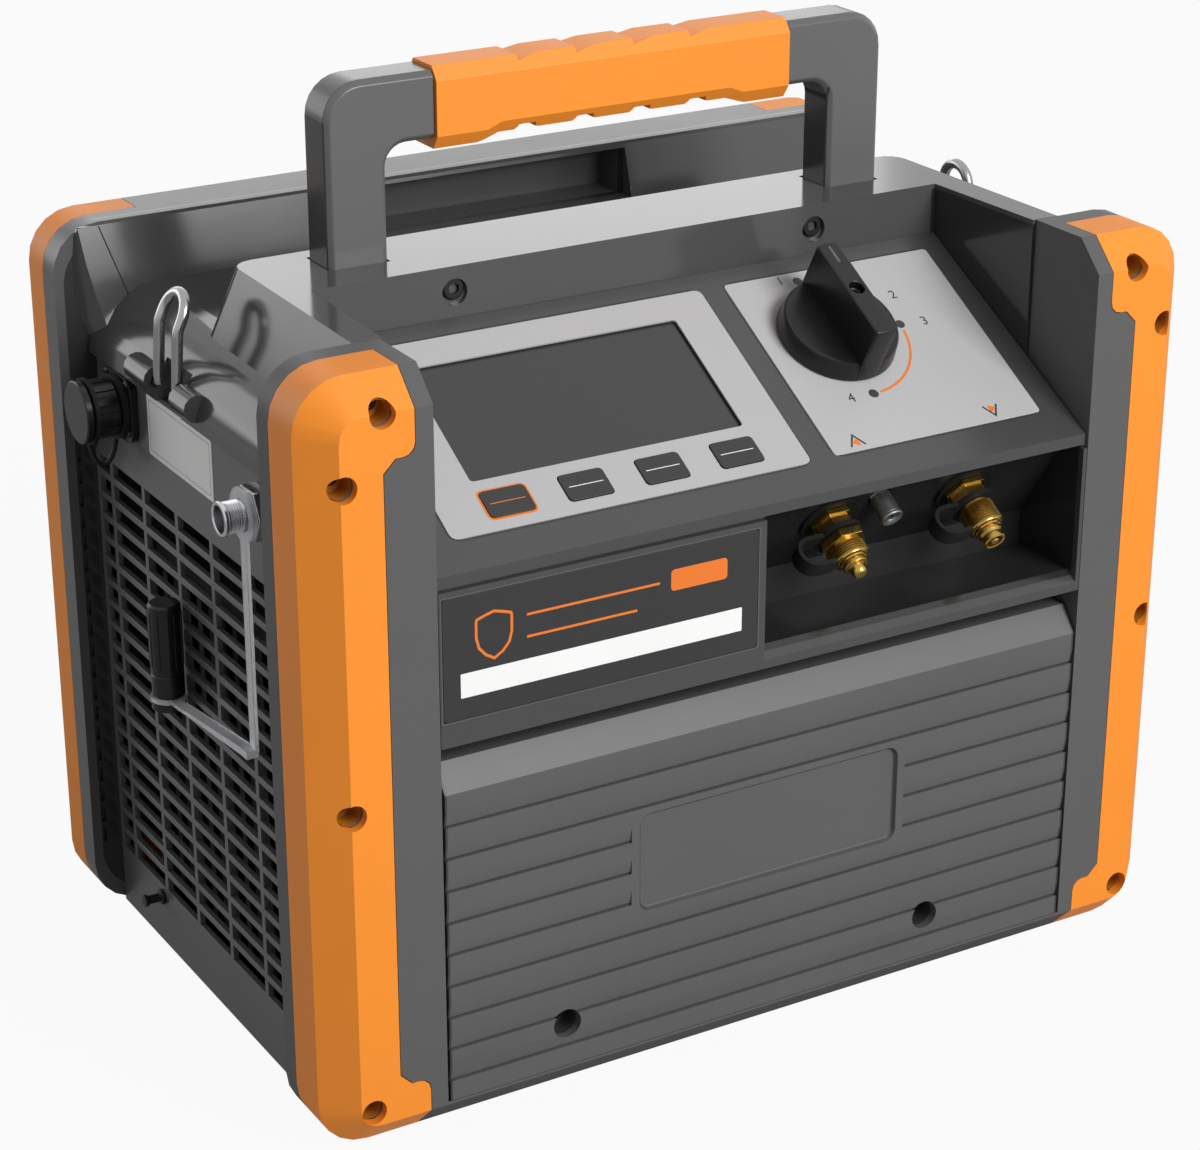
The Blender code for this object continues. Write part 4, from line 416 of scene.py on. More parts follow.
def metal(name, colour, roughness, spots=0.25, marks=0.05):
    finish = Finish(name, colour, roughness, 1.0)
    patch = finish.noise(90, 5, 0.6).ramp(0.45, 0.75)
    finish.feed("Base Color", finish.mix(patch * spots, (*colour, 1), shade(colour, 0.45)))
    scratch = finish.noise(900, 2)
    finish.feed("Roughness", scratch * marks + patch * spots * 0.5 + roughness)
    finish.bump(scratch, 0.06, 0.0001)
    return finish.material


BRASS = metal("turned_brass", (0.50, 0.33, 0.08), 0.22)
STEEL = metal("plated_steel", (0.58, 0.58, 0.60), 0.16)
FINS = metal("black_fins", (0.020, 0.020, 0.022), 0.55)
SCREW = metal("black_screw_steel", (0.045, 0.045, 0.05), 0.38)
SATIN = metal("satin_steel", (0.30, 0.30, 0.31), 0.34)
WIRE = metal("bail_steel", (0.36, 0.36, 0.37), 0.20)
CAST = metal("cast_aluminium", (0.20, 0.20, 0.21), 0.5, 0.35, 0.15)

SHEET = moulded("pale_sheet", (0.50, 0.50, 0.505), 0.50, grain=0.05, mottle=0.04)
WHITE = moulded("white_label", (0.92, 0.92, 0.91), 0.50, grain=0.05, mottle=0.04)
INK_DARK = moulded("dark_ink", (0.030, 0.030, 0.032), 0.45, grain=0.02)
INK_ORANGE = moulded("orange_ink", (0.85, 0.20, 0.02), 0.42, grain=0.02)
LENS = moulded("display_lens", (0.034, 0.035, 0.036), 0.16, grain=0.0, mottle=0.03)
GREEN = moulded("circuit_green", (0.015, 0.10, 0.04), 0.45)
print("metals and sheets ready")

# %% [markdown]
# ## Clear plastic
# The strap on the left side is a soft clear plastic that is a little cloudy. Full glass
# would vanish against white, so about half of the light passes and the rest is scattered.

# %% Clear strap


def clear_plastic():
    finish = Finish("clear_plastic", (0.86, 0.88, 0.90), 0.18)
    haze = finish.noise(400, 4)
    finish.shader.inputs["Transmission Weight"].default_value = 0.55
    finish.feed("Roughness", haze * 0.12 + 0.12)
    finish.feed("Base Color", finish.mix(haze, (0.80, 0.82, 0.85, 1), (0.95, 0.96, 0.97, 1)))
    return finish.material


CLEAR = clear_plastic()
print("clear strap ready")

# %% [markdown]
# ## Turned pieces
# Knobs, fittings, sockets and caps are made on a lathe, or look as if they were. A profile
# is drawn at one side of the axis and spun about it in edit mode, with enough steps to
# look round close up.

# %% Lathe


def drawn_line(points):
    """Shrinks a plane to one vertex and extrudes that along points in mm."""
    clear_selection()
    bpy.ops.mesh.primitive_plane_add(size=MM)
    bpy.ops.object.mode_set(mode="EDIT")
    bpy.ops.mesh.select_all(action="SELECT")
    bpy.ops.mesh.merge(type="CENTER")
    here = Vector(points[0]) * MM
    bpy.ops.transform.translate(value=here)
    for point in points[1:]:
        step = Vector(point) * MM - here
        bpy.ops.mesh.extrude_region_move(TRANSFORM_OT_translate={"value": step})
        here += step
    bpy.ops.mesh.select_all(action="SELECT")
    bpy.ops.mesh.remove_doubles(threshold=1e-7)
    return bpy.context.object


def lathe(profile, matrix, steps=48):
    """Spins (radius, height) points in mm about Z and lays the result on a matrix."""
    obj = drawn_line([(radius, 0, level) for radius, level in profile])
    bpy.ops.mesh.select_all(action="SELECT")
    bpy.ops.mesh.spin(steps=steps, angle=math.tau, center=(0, 0, 0), axis=(0, 0, 1))
    bpy.ops.object.mode_set(mode="OBJECT")
    obj.matrix_world = matrix
    apply_place(obj)
    return tidy(obj)


print("lathe ready")

# %% [markdown]
# ## Threads, hexagons and prisms
# A thread is a run of teeth in a turned profile. It could be a true helix, but at this size
# the rings look the same and stay one closed shape. Nuts are six-sided cylinders with soft
# edges, and an odd cut is a drawn outline that is filled and extruded.

# %% Threads, hexagons and prisms


def thread(outer, inner, low, high, pitch):
    """A run of teeth, from the high end to the low end."""
    points = []
    count = int((high - low) / pitch)
    for tooth in range(count):
        top = high - tooth * pitch
        points += [(inner, top), (outer, top - pitch * 0.4), (outer, top - pitch * 0.6)]
    return points + [(inner, high - count * pitch)]


def hexagon(flats, low, high, matrix, soft=0.3):
    clear_selection()
    radius = flats / 2 / math.cos(math.pi / 6) * MM
    bpy.ops.mesh.primitive_cylinder_add(vertices=6, radius=radius, depth=(high - low) * MM)
    obj = bpy.context.object
    obj.matrix_world = matrix @ Matrix.Translation((0, 0, (low + high) / 2 * MM)) @ Matrix.Rotation(
        math.pi / 6, 4, "Z"
    )
    apply_place(obj)
    modify(obj, "BEVEL", width=soft * MM, segments=2, limit_method="ANGLE")
    return tidy(obj)


def prism_cutter(outline, low, high, matrix):
    """A drawn outline in mm, filled and made as deep as from low to high."""
    obj = drawn_line([(x, y, low) for x, y in (*outline, outline[0])])
    bpy.ops.mesh.select_all(action="SELECT")
    bpy.ops.mesh.edge_face_add()
    bpy.ops.mesh.extrude_region_move(TRANSFORM_OT_translate={"value": (0, 0, (high - low) * MM)})
    bpy.ops.object.mode_set(mode="OBJECT")
    obj.matrix_world = matrix
    apply_place(obj)
    return tidy(obj)


print("threads, hexagons and prisms ready")

# %% [markdown]
# ## Softened copies of the CAD shells
# The solids have the right shapes but knife-sharp edges, and every moulded edge on the real
# machine has a small radius that catches the light. A copy of each shell is merged, its flat
# faces are made whole again, screw holes are cut, and a narrow bevel softens its edges.

# %% Soften a shell


def merged_copy(node):
    """A copy of a CAD node as a clean closed mesh."""
    obj = bpy.data.objects.new(node + "_soft", nodes[node].data.copy())
    bpy.context.scene.collection.objects.link(obj)
    take_up(obj)
    bpy.ops.object.mode_set(mode="EDIT")
    bpy.ops.mesh.select_all(action="SELECT")
    bpy.ops.mesh.remove_doubles(threshold=1e-6)
    bpy.ops.mesh.dissolve_limited(angle_limit=math.radians(0.5))
    bpy.ops.object.mode_set(mode="OBJECT")
    return obj


def hole_cutter(radius, depth, matrices, sides=28):
    """Cylinders that start in front of a face and reach a depth behind it."""
    cutters = []
    ahead = 0.010
    for matrix in matrices:
        clear_selection()
        bpy.ops.mesh.primitive_cylinder_add(vertices=sides, radius=radius, depth=depth + ahead)
        cutter = bpy.context.object
        cutter.matrix_world = matrix @ Matrix.Translation((0, 0, (ahead - depth) / 2))
        cutters.append(apply_place(cutter))
    return joined(*cutters) if len(cutters) > 1 else cutters[0]


def cut_away(obj, cutter):
    modify(obj, "BOOLEAN", operation="DIFFERENCE", solver="EXACT", object=cutter)
    bpy.data.objects.remove(cutter, do_unlink=True)
    return obj


def softened(node, finish, width, cutters=(), segments=2, angle=30):
    obj = merged_copy(node)
    for cutter in cutters:
        cut_away(obj, cutter)
    modify(
        obj,
        "BEVEL",
        width=width,
        segments=segments,
        limit_method="ANGLE",
        angle_limit=math.radians(angle),
        use_clamp_overlap=True,
        harden_normals=False,
    )
    smoothed(obj)
    return dressed(obj, node + "_shell", finish, body_of(node), [node])


def cad_finish(finish, *names):
    """A CAD node that keeps its shape and gets a finish."""
    for name in names:
        mesh = nodes[name].data
        mesh.materials.clear()
        mesh.materials.append(finish)


print("shell tools ready")

# %% [markdown]
# ## Frames and corner guards
# Each orange guard is a skin over the corner of the case. Socket screws hold it, sunk in
# round wells. The wells in guard and frame are cut at the same places, so they line up.

# %% Guards with screw wells
WELL_RADIUS = 0.00525
WELL_DEPTH = 0.0125
GUARD_SCREWS = ((170, 302.5), (186, 277), (186.4, 147.3), (182, 19))


def guard_wells(side, rear):
    matrices = []
    for x, z in GUARD_SCREWS:
        if rear:
            level = CASE_LOW + (z - 1.9) * MM
            matrices.append(facing((0, 1, 0), (side * x * MM, BACK, level)))
        else:
            matrices.append(on_front(side * x, z))
    return matrices


for rear, end in ((False, "front"), (True, "rear")):
    for side, word in ((-1, "left"), (1, "right")):
        wells = guard_wells(side, rear)
        cutter = hole_cutter(WELL_RADIUS, WELL_DEPTH, wells)
        softened("guard_%s_%s" % (end, word), ORANGE, 0.0011, [cutter], 3, 20)
print("guards:", 4, "with", len(GUARD_SCREWS), "wells each")

# %% [markdown]
# ## The rear rim and the front frame
# A row of slots runs down each side of the rear rim. Each one is a box, and all are cut at
# once. The face inside the rim is polished, and the chamfer under the front frame lies in
# shade. A formula on the place paints shade into both, so no extra faces are needed for them.

# %% Rim slots and painted shade
RIM_SLOT = (0.0016, 0.005, 0.0065)
RIM_SLOT_X = 0.1942
RIM_SLOT_FOOT = CASE_LOW + 0.034
RIM_SLOT_PITCH = 0.010
RIM_SLOTS = 19
RIM_WIDTH = 0.0042
RIM_CORNER = 0.026
FRAME_WELL = WELL_RADIUS - 0.0004


def box_cutter(size, places):
    """Equal boxes round places, to cut with at once."""
    boxes = []
    for place in places:
        clear_selection()
        bpy.ops.mesh.primitive_cube_add(size=1, location=place)
        bpy.context.object.scale = size
        boxes.append(apply_place(bpy.context.object))
    return joined(*boxes)


def rim_notches():
    """The slots down both sides of the rear rim."""
    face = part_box("rear_cover")[0].y
    places = []
    for side in (-1, 1):
        for step in range(RIM_SLOTS):
            places.append((side * RIM_SLOT_X, face, RIM_SLOT_FOOT + step * RIM_SLOT_PITCH))
    return box_cutter(RIM_SLOT, places)


def past_rounded(x, z, across, up, corner):
    """How far a point lies outside a rounded rectangle, and less than 0 inside it."""
    side = (x - sum(across) / 2).size() - ((across[1] - across[0]) / 2 - corner)
    rise = (z - sum(up) / 2).size() - ((up[1] - up[0]) / 2 - corner)
    outside = (side.at_least(0) * side.at_least(0) + rise.at_least(0) * rise.at_least(0)).root()
    return outside - (0 - side).at_most(0 - rise).at_least(0) - corner


def rear_polish_and_painted_shade(x, y, z):
    """The rear cover's polished face towards the deck inside its rim, darkened as painted shade, and a
    painted shade line for a groove along the top.
    """
    low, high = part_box("rear_cover")
    rim = past_rounded(x, z, (low.x, high.x), (low.z, high.z), RIM_CORNER) + RIM_WIDTH
    polished = (1 - rim.over(0)) * (1 - y.over(low.y + 0.004))
    groove = y.between(low.y + 0.0043, low.y + 0.0049) * z.over(high.z - 0.002)
    return polished.at_least(groove)


def sill_painted_shade(x, y, z):
    """Painted shade on the chamfer under the front face, which lies in shade."""
    return y.over(FRONT + 0.0006) * (1 - z.over(CASE_LOW + 0.0138))


print("slots for the rim:", RIM_SLOTS * 2)

# %% [markdown]
# ## Softened frames
# Front frame and rear cover get the same wells as the guards, a little narrower, so that a
# turned cup of darker orange can line each well as painted shade. A narrow bevel then
# softens all their edges.

# %% Soften the frames
FRAME_GREY = moulded(
    "frame_grey", (0.112, 0.112, 0.114), 0.46, 0.08, painted_shade_area=sill_painted_shade, dark_gloss=0.46, shine=0.2
)
frame_cutters = [hole_cutter(FRAME_WELL, WELL_DEPTH, guard_wells(s, False)) for s in (-1, 1)]
softened("front_frame", FRAME_GREY, 0.0007, frame_cutters)
rear_cutters = [hole_cutter(FRAME_WELL, WELL_DEPTH, guard_wells(s, True)) for s in (-1, 1)]
REAR_GREY = moulded(
    "rear_cover_grey",
    (0.100, 0.100, 0.102),
    0.36,
    0.05,
    0.05,
    painted_shade_area=rear_polish_and_painted_shade,
    dark_gloss=0.16,
)
rear_cutters.append(rim_notches())
softened("rear_cover", REAR_GREY, 0.0007, rear_cutters)
print("frames softened")

# %% [markdown]
# ## A socket screw
# A button-head screw is a short disc with a domed top and a hexagonal socket. One is
# modelled by hand and copied to every well and to the wall behind the control panel.

# %% Model one screw and copy it
SCREW_HEAD = 0.0026
GUARD_SCREW_RADIUS = 0.0033
GUARD_WELL_SHADE_CUP = [
    (0, -12.3), (4.3, -12.3), (4.45, -12.0), (4.7, -4.4), (4.82, -4.4), (4.82, -12.5), (0, -12.5)
]


def socket_screw(radius):
    clear_selection()
    bpy.ops.mesh.primitive_cylinder_add(
        vertices=24, radius=radius, depth=SCREW_HEAD, location=(0, 0, SCREW_HEAD / 2)
    )
    head = bpy.context.object
    modify(head, "BEVEL", width=0.0009, segments=3, limit_method="ANGLE")
    clear_selection()
    bpy.ops.mesh.primitive_cylinder_add(
        vertices=6, radius=radius * 0.5, depth=0.004, location=(0, 0, 0.003)
    )
    return tidy(cut_away(head, bpy.context.object))


def screws(name, matrices, radius):
    """One screw for each place, joined into one piece."""
    first = socket_screw(radius)
    copies = [copied(first, matrix) for matrix in matrices]
    bpy.data.objects.remove(first, do_unlink=True)
    whole = joined(*copies)
    return dressed(whole, name, SCREW, "housing")


def sunk(matrices, depth):
    return [matrix @ Matrix.Translation((0, 0, -depth)) for matrix in matrices]


for rear, end in ((False, "front"), (True, "rear")):
    places = guard_wells(-1, rear) + guard_wells(1, rear)
    screws("guard_screws_" + end, sunk(places, WELL_DEPTH), GUARD_SCREW_RADIUS)
    for side, word in ((-1, "left"), (1, "right")):
        # Each well is lined with a darker orange cup, as painted shade.
        cups = [lathe(GUARD_WELL_SHADE_CUP, matrix, 28) for matrix in guard_wells(side, rear)]
        dressed(joined(*cups), "guard_cups_%s_%s" % (end, word), WELL_SHADE_ORANGE, "housing")
print("screws placed in the wells")

# %% [markdown]
# ## Shells of the case
# The top cover is smoother and glossier than the frames, and the side panels are a lighter
# satin grey. Screws hold the cover at the wall behind the control panel. Masks paint shade
# into the cover's well and draw its dark shoulder seams, as on the rear rim.

# %% Top cover and side panels
WALL_Y = FRONT + 0.1065
WALL_SCREW_X = 0.0846
WALL_SCREW_Z = CASE_LOW + 0.3047
wall_screws = [facing((0, -1, 0), (s * WALL_SCREW_X, WALL_Y, WALL_SCREW_Z), (1, 0, 0)) for s in (-1, 1)]
WELL_SIDES = (0.1448, 0.1512)
SHOULDER_SEAM = 0.170


def well_sides_painted_shade(x, y, z):
    """Painted shade on the inner sides of the control well, which are polished and lie in shade."""
    in_front = (1 - y.over(WALL_Y + 0.001)) * (1 - z.over(CASE_TOP - 0.002))
    return x.size().between(*WELL_SIDES) * in_front


def seam(x, y, z):
    """A thin line along each shoulder, where the cover is drawn down over the side."""
    line = x.size().between(SHOULDER_SEAM - 0.0005, SHOULDER_SEAM + 0.0005)
    return line * (1 - z.over(CASE_TOP - 0.0308))


# Painted shade in the control well, together with the dark seam lines on the shoulders.
def cover_painted_shade_and_seams(x, y, z):
    return well_sides_painted_shade(x, y, z).at_least(seam(x, y, z))


PIANO = moulded(
    "piano_grey", (0.078, 0.078, 0.080), 0.13, 0.008, 0.02, painted_shade_area=cover_painted_shade_and_seams, dark_gloss=0.13
)
softened("top_cover", PIANO, 0.0012, [hole_cutter(0.0056, 0.0022, wall_screws)], 3)
screws("wall_screws", sunk(wall_screws, 0.0020), 0.0048)
for side in ("left", "right"):
    softened("side_panel_" + side, SIDE_GREY, 0.0003, segments=1)
print("cover and sides softened")

# %% [markdown]
# ## Corner webs at the rear
# Where the wall in front of the rear rim ends, the real moulding goes on to the corner and
# bends back to the rim. A mesh cut from the solid would need a new surface there, so the
# web is drawn by its outline instead: one flat face that continues the wall and one swept
# face that turns to the rim. Both are filled, joined along the bend and extruded straight
# back to one plane at the rim, which closes the web.

# %% Corner webs at the rear
WALL_LEAN = 0.292
SEAM_HALF = 0.25


def web_face(side, edge):
    obj = drawn_line([(side * x, y, z) for x, y, z in edge])
    bpy.ops.mesh.select_all(action="SELECT")
    bpy.ops.mesh.edge_face_add()
    bpy.ops.object.mode_set(mode="OBJECT")
    return obj


def on_wall(x, z):
    """A place just in front of the wall, which leans back as it rises."""
    return x, 88.4 + (z - 280.4) * WALL_LEAN, z


def corner_web(side):
    """The wall carried on past its end, then turned back to the rear rim."""
    bend = [on_wall(188.8, 314.3), on_wall(187.6, 300.0), on_wall(185.6, 287.0), on_wall(183.2, 275.2)]
    flat = bend + [on_wall(179.2, 280.2), on_wall(171.6, 284.7), on_wall(180.0, 314.3), bend[0]]
    rim = [(185.6, 99.9, 267.0), (188.6, 99.9, 274.0), (191.2, 99.9, 287.0), (191.4, 99.9, 300.0)]
    swept = bend + rim + [(190.2, 99.9, 311.0), bend[0]]
    obj = joined(web_face(side, flat), web_face(side, swept))
    bpy.ops.object.mode_set(mode="EDIT")
    bpy.ops.mesh.select_all(action="SELECT")
    bpy.ops.mesh.remove_doubles(threshold=1e-6)
    bpy.ops.mesh.extrude_region_move(TRANSFORM_OT_translate={"value": (0, 0.001, 0)})
    bpy.ops.transform.resize(value=(1, 0, 1), center_override=(0, 0.1004, 0))
    bpy.ops.object.mode_set(mode="OBJECT")
    tidy(obj)
    bpy.ops.object.shade_smooth_by_angle(angle=math.radians(80))
    return obj


for side, word in ((-1, "left"), (1, "right")):
    dressed(corner_web(side), "corner_web_" + word, PIANO, "housing")
    seam_ends = (on_wall(171.4, 285.0), on_wall(179.8, 314.2))
    seam_foot, seam_top = (Vector((side * x, y, z)) * MM for x, y, z in seam_ends)
    along = (seam_top - seam_foot).normalized()
    out = Vector((0, -along.z, along.y)).normalized()
    length = (seam_top - seam_foot).length / MM
    strip_edge = [(0, -SEAM_HALF), (length, -SEAM_HALF), (length, SEAM_HALF), (0, SEAM_HALF)]
    line = prism_cutter(strip_edge, -0.2, 0.12, facing(out, seam_foot, along))
    dressed(line, "corner_seam_" + word, RUBBER, "housing")
print("corner webs drawn")

# %% [markdown]
# ## Front panels
# The control panel's lip hangs over the hose recess, whose walls are glossier and get painted
# shade, and the lower panel is a run of overlapping boards round a sunk rectangle with two
# screws. The solids hold these forms already, so the panels are softened and masks paint their shade.

# %% Control panel and lower front panel
PANEL_SCREWS_X = (-96.2, 77.6)
PANEL_SCREWS_Z = 32.5
PLAQUE_X = (-0.0630, 0.0604)
PLAQUE_Z = (CASE_LOW + 0.0734, CASE_LOW + 0.1164)


def hose_recess_painted_shade(x, y, z):
    """Painted shade on the inside of the hose recess: everything behind the front face and below the
    panel.
    """
    return x.over(-0.006) * y.over(FRONT + 0.0030) * (1 - z.over(CASE_LOW + 0.2325))


FASCIA = moulded(
    "fascia_grey", (0.062, 0.062, 0.064), 0.26, 0.03, 0.03, painted_shade_area=hose_recess_painted_shade, dark_gloss=0.18
)
softened("control_fascia", FASCIA, 0.0006)


def board_painted_shade(x, y, z):
    """Painted shade on the boards' narrow ends, the insides of the screw wells and the edge of the sunk
    place.
    """
    ends = x.size().over(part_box("ribbed_panel")[1].x - 0.0009)
    wells = y.over(FRONT + 0.0040) * (1 - z.over(CASE_LOW + 0.045))
    edge = past_rounded(x, z, PLAQUE_X, PLAQUE_Z, 0.005)
    return ends.at_least(wells).at_least(edge.between(-0.0009, 0.0001))


RIB_GREY = moulded(
    "ribbed_grey", (0.100, 0.100, 0.102), 0.46, 0.08, painted_shade_area=board_painted_shade, dark_gloss=0.46
)
softened("ribbed_panel", RIB_GREY, 0.0003)
panel_wells = [on_front(x, PANEL_SCREWS_Z) for x in PANEL_SCREWS_X]
screws("panel_screws", sunk(panel_wells, 0.0118), 0.0048)
print("front panels softened")

# %% [markdown]
# ## The handle
# The handle is a thick moulded loop, and its grip is an orange sleeve with saw-tooth finger
# notches. A subdivided sleeve would round the notches off, so their outlines are drawn as
# flat shapes, given depth and cut away with Booleans, and so is the facet below the front
# edge. The posts' sides that look away from the light are darkened by a mask.

# %% Handle and grip
grip_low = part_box("handle_grip")[0]
FACET = (0, 0.574, -0.819)
NOTCH_MIDDLES = (-39.75, -13.25, 13.25, 39.75)
facet_at = facing(FACET, (0, grip_low.y, grip_low.z + 0.0055), (1, 0, 0))
facet_cut = prism_cutter([(-66, 1.5), (-53, -1.5), (53, -1.5), (66, 1.5)], -15, 15, facet_at)
grip_cutters = [facet_cut]
under_at = facing((0, 1, 0), (0, grip_low.y, grip_low.z + 0.0030), (1, 0, 0))
for middle in NOTCH_MIDDLES:
    notch = [(middle - 6.2, 0), (middle - 4.0, -2.3), (middle + 3.0, -2.3), (middle + 3.4, 0)]
    notch += [(middle + 3.4, 2), (middle - 6.2, 2)]
    grip_cutters.append(prism_cutter(notch, -5, 40, under_at))
loop_low, loop_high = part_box("handle_frame")
POST = 0.0261


def post_sides_painted_shade(x, y, z):
    """Painted shade on the sides of both posts that look left, away from the light."""
    outer = x.between(loop_low.x - 0.001, loop_low.x + 0.0004) * (1 - z.over(loop_high.z - 0.015))
    inner = (x - (loop_high.x - POST)).size()
    return outer.at_least((1 - inner.over(0.0005)) * (1 - z.over(loop_high.z - 0.030)))


HANDLE = moulded(
    "handle_grey",
    (0.130, 0.130, 0.132),
    0.26,
    0.03,
    0.03,
    painted_shade_area=post_sides_painted_shade,
    dark_gloss=0.20,
    shine=0.32,
)
softened("handle_frame", HANDLE, 0.0006, angle=25)
softened("handle_grip", ORANGE, 0.0004, grip_cutters, angle=25)
print("handle ready")

# %% [markdown]
# ## Panel sheets and their prints
# Prints are thin raised shapes on the sheets: a rounded rectangle starts as a plane whose
# corners are bevelled, and an outline is what is left when an inset face is taken out.

# %% Flat prints
PRINT = 0.00006


def flat_rectangle(size, radius, matrix, thickness=PRINT, border=None):
    """A rounded rectangle, or only its border, lying on a face."""
    clear_selection()
    bpy.ops.mesh.primitive_plane_add(size=1)
    obj = bpy.context.object
    obj.scale = (size[0] * MM, size[1] * MM, 1)
    apply_place(obj)
    bpy.ops.object.mode_set(mode="EDIT")
    bpy.ops.mesh.select_all(action="SELECT")
    if radius:
        bpy.ops.mesh.bevel(offset=radius * MM, segments=5, affect="VERTICES")
        bpy.ops.mesh.select_all(action="SELECT")
    if border:
        bpy.ops.mesh.inset(thickness=border * MM, depth=0)
        bpy.ops.mesh.delete(type="FACE")
    bpy.ops.object.mode_set(mode="OBJECT")
    return raised(obj, matrix, thickness)


def raised(obj, matrix, thickness=PRINT):
    """Gives a flat shape its thickness and lays it on its face."""
    modify(obj, "SOLIDIFY", thickness=thickness, offset=1)
    obj.matrix_world = matrix
    apply_place(obj)
    return tidy(obj)


print("flat shapes ready")

# %% [markdown]
# ## Discs, lines and numbers
# Dots and arrows are filled circles with many or few corners. A line of even width is a low
# wall, thickened to both sides, which keeps its width at the bends. Numbers are text turned
# into a mesh before it is laid on its face.

# %% Discs, lines and numbers


def flat_disc(radius, matrix, corners=24, turn=0.0):
    clear_selection()
    bpy.ops.mesh.primitive_circle_add(vertices=corners, radius=radius * MM, fill_type="NGON")
    return raised(bpy.context.object, matrix @ Matrix.Rotation(turn, 4, "Z"))


def flat_path(points, width, matrix):
    """A line of even width through points: a low wall on the line, thickened to both sides."""
    obj = drawn_line([(x, y, 0) for x, y in points])
    bpy.ops.mesh.select_all(action="SELECT")
    bpy.ops.mesh.extrude_region_move(TRANSFORM_OT_translate={"value": (0, 0, PRINT)})
    bpy.ops.object.mode_set(mode="OBJECT")
    modify(obj, "SOLIDIFY", thickness=width * MM, offset=0, use_even_offset=True)
    obj.matrix_world = matrix
    apply_place(obj)
    return tidy(obj)


def lifted(matrix, height):
    return matrix @ Matrix.Translation((0, 0, height))


def numeral(text, size, matrix):
    clear_selection()
    bpy.ops.object.text_add()
    obj = bpy.context.object
    obj.data.body = text
    obj.data.size = size * MM
    obj.data.align_x = "CENTER"
    obj.data.align_y = "CENTER"
    bpy.ops.object.convert(target="MESH")
    return raised(bpy.context.object, matrix)


print("print tools ready")

# %% [markdown]
# ## Display, keys and valve sheet
# The two pale sheets lie in shallow pockets, and a dark line is drawn round each. A key is a
# softened solid with a printed line, and the start key has an orange outline on the sheet.
# Each line rides with its key, since it has to sink with it.

# %% Sheets, lens and keys
SHEET_TOP = 0.0003
KEY_TOP = SHEET_TOP + 0.0006
BORDER_GROW = 0.7
cad_finish(SHEET, "display_overlay")
softened("valve_overlay", SHEET, 0.00012, segments=1)
softened("display_window", LENS, 0.0002, segments=1)


def border(node, radius, width, place, finish):
    """A thin line round a plate that lies on a face."""
    low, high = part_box(node)
    middle = (low + high) / 2
    base = place.copy()
    normal = base.to_3x3() @ Vector((0, 0, 1))
    drop = (middle - base.translation).dot(normal)
    base.translation = middle - normal * (drop - 0.00002)
    tall = math.hypot(high.y - low.y, high.z - low.z) / MM
    wide = (high.x - low.x) / MM
    size = (wide + BORDER_GROW * 2, tall + BORDER_GROW * 2)
    obj = flat_rectangle(size, radius, base, border=width)
    return dressed(obj, node + "_border", finish, "housing")


border("display_overlay", 5, 0.8, on_panel(0, 0), INK_DARK)
border("valve_overlay", 5, 0.8, on_panel(0, 0), INK_DARK)
KEYS = (
    ("key_start_stop", -106.9),
    ("key_pressure_switch", -72.9),
    ("key_units", -38.9),
    ("key_cancel", -4.9),
)
KEY_UP = 27.1
for name, x in KEYS:
    softened(name, DARK, 0.0002)
    line = flat_rectangle((15, 0.35), 0, lifted(on_panel(x, KEY_UP), KEY_TOP))
    finish = INK_ORANGE if name == "key_start_stop" else WHITE
    dressed(line, name + "_line", finish, body_of(name))
outline = flat_rectangle((21.4, 14.8), 2.6, lifted(on_panel(KEYS[0][1], KEY_UP), SHEET_TOP), border=0.9)
dressed(outline, "start_key_outline", INK_ORANGE, "housing")
print("keys:", len(KEYS))

# %% [markdown]
# ## Marks round the valve
# The pointer knob turns among dots, with an orange arc between two of them, and plain
# numbers stand at the valve's settings. The arc is a drawn line of even width, because a
# line of many short steps is easier to lay on a tilted sheet than a curve.

# %% Dots, arc, numbers and arrows
KNOB_X, KNOB_UP = 68.8, 74.1
RING = 32.3
valve_face = lifted(on_panel(KNOB_X, KNOB_UP), SHEET_TOP)
dots = []
for degrees in (90, 45, 0, -90):
    turn = math.radians(degrees)
    spot = Matrix.Translation((RING * MM * math.cos(turn), RING * MM * math.sin(turn), 0))
    dots.append(flat_disc(2.2, valve_face @ spot))
dressed(joined(*dots), "valve_dots", INK_DARK, "housing")
arc = []
for step in range(25):
    turn = math.radians(-6 - 78 * step / 24)
    arc.append((RING * math.cos(turn), RING * math.sin(turn)))
dressed(flat_path(arc, 1.1, valve_face), "valve_arc", INK_ORANGE, "housing")
numbers = []
for text, x, up in (("1", 61, 108), ("2", 107, 90), ("3", 113, 73.3), ("4", 58, 41.7)):
    numbers.append(numeral(text, 6.5, lifted(on_panel(x, up), SHEET_TOP)))
dressed(joined(*numbers), "valve_numbers", INK_DARK, "housing")
arrows, chevrons = [], []
for x, up, way in ((47.6, 20.6, 1), (115.4, 21.4, -1)):
    base = lifted(on_panel(x, up), SHEET_TOP)
    arrows.append(flat_disc(2.4, base @ Matrix.Translation((0, -way * 0.0008, 0)), 3, way * math.pi / 2))
    chevrons.append(flat_path([(-3.4, -way * 2.6), (0, way * 3.1), (3.4, -way * 2.6)], 0.8, base))
dressed(joined(*arrows), "flow_arrows", INK_ORANGE, "housing")
dressed(joined(*chevrons), "flow_chevrons", INK_DARK, "housing")
print("valve marks:", len(dots) + len(numbers) + len(arrows) * 2)

# %% [markdown]
# ## The badge plate
# A dark plate with a white strip, an orange shield outline and an orange block. The shield
# is drawn as a closed line of even width, from one half that is mirrored to the other.

# %% Badge prints
softened("badge_plate", DARK, 0.00015, segments=1)
badge_face = lifted(on_front(0, 0), 0.0002)
border("badge_plate", 0.6, 0.5, on_front(0, 0), FRAME_EDGE)


def on_badge(x, z):
    return badge_face @ Matrix.Translation((x * MM, z * MM, 0))


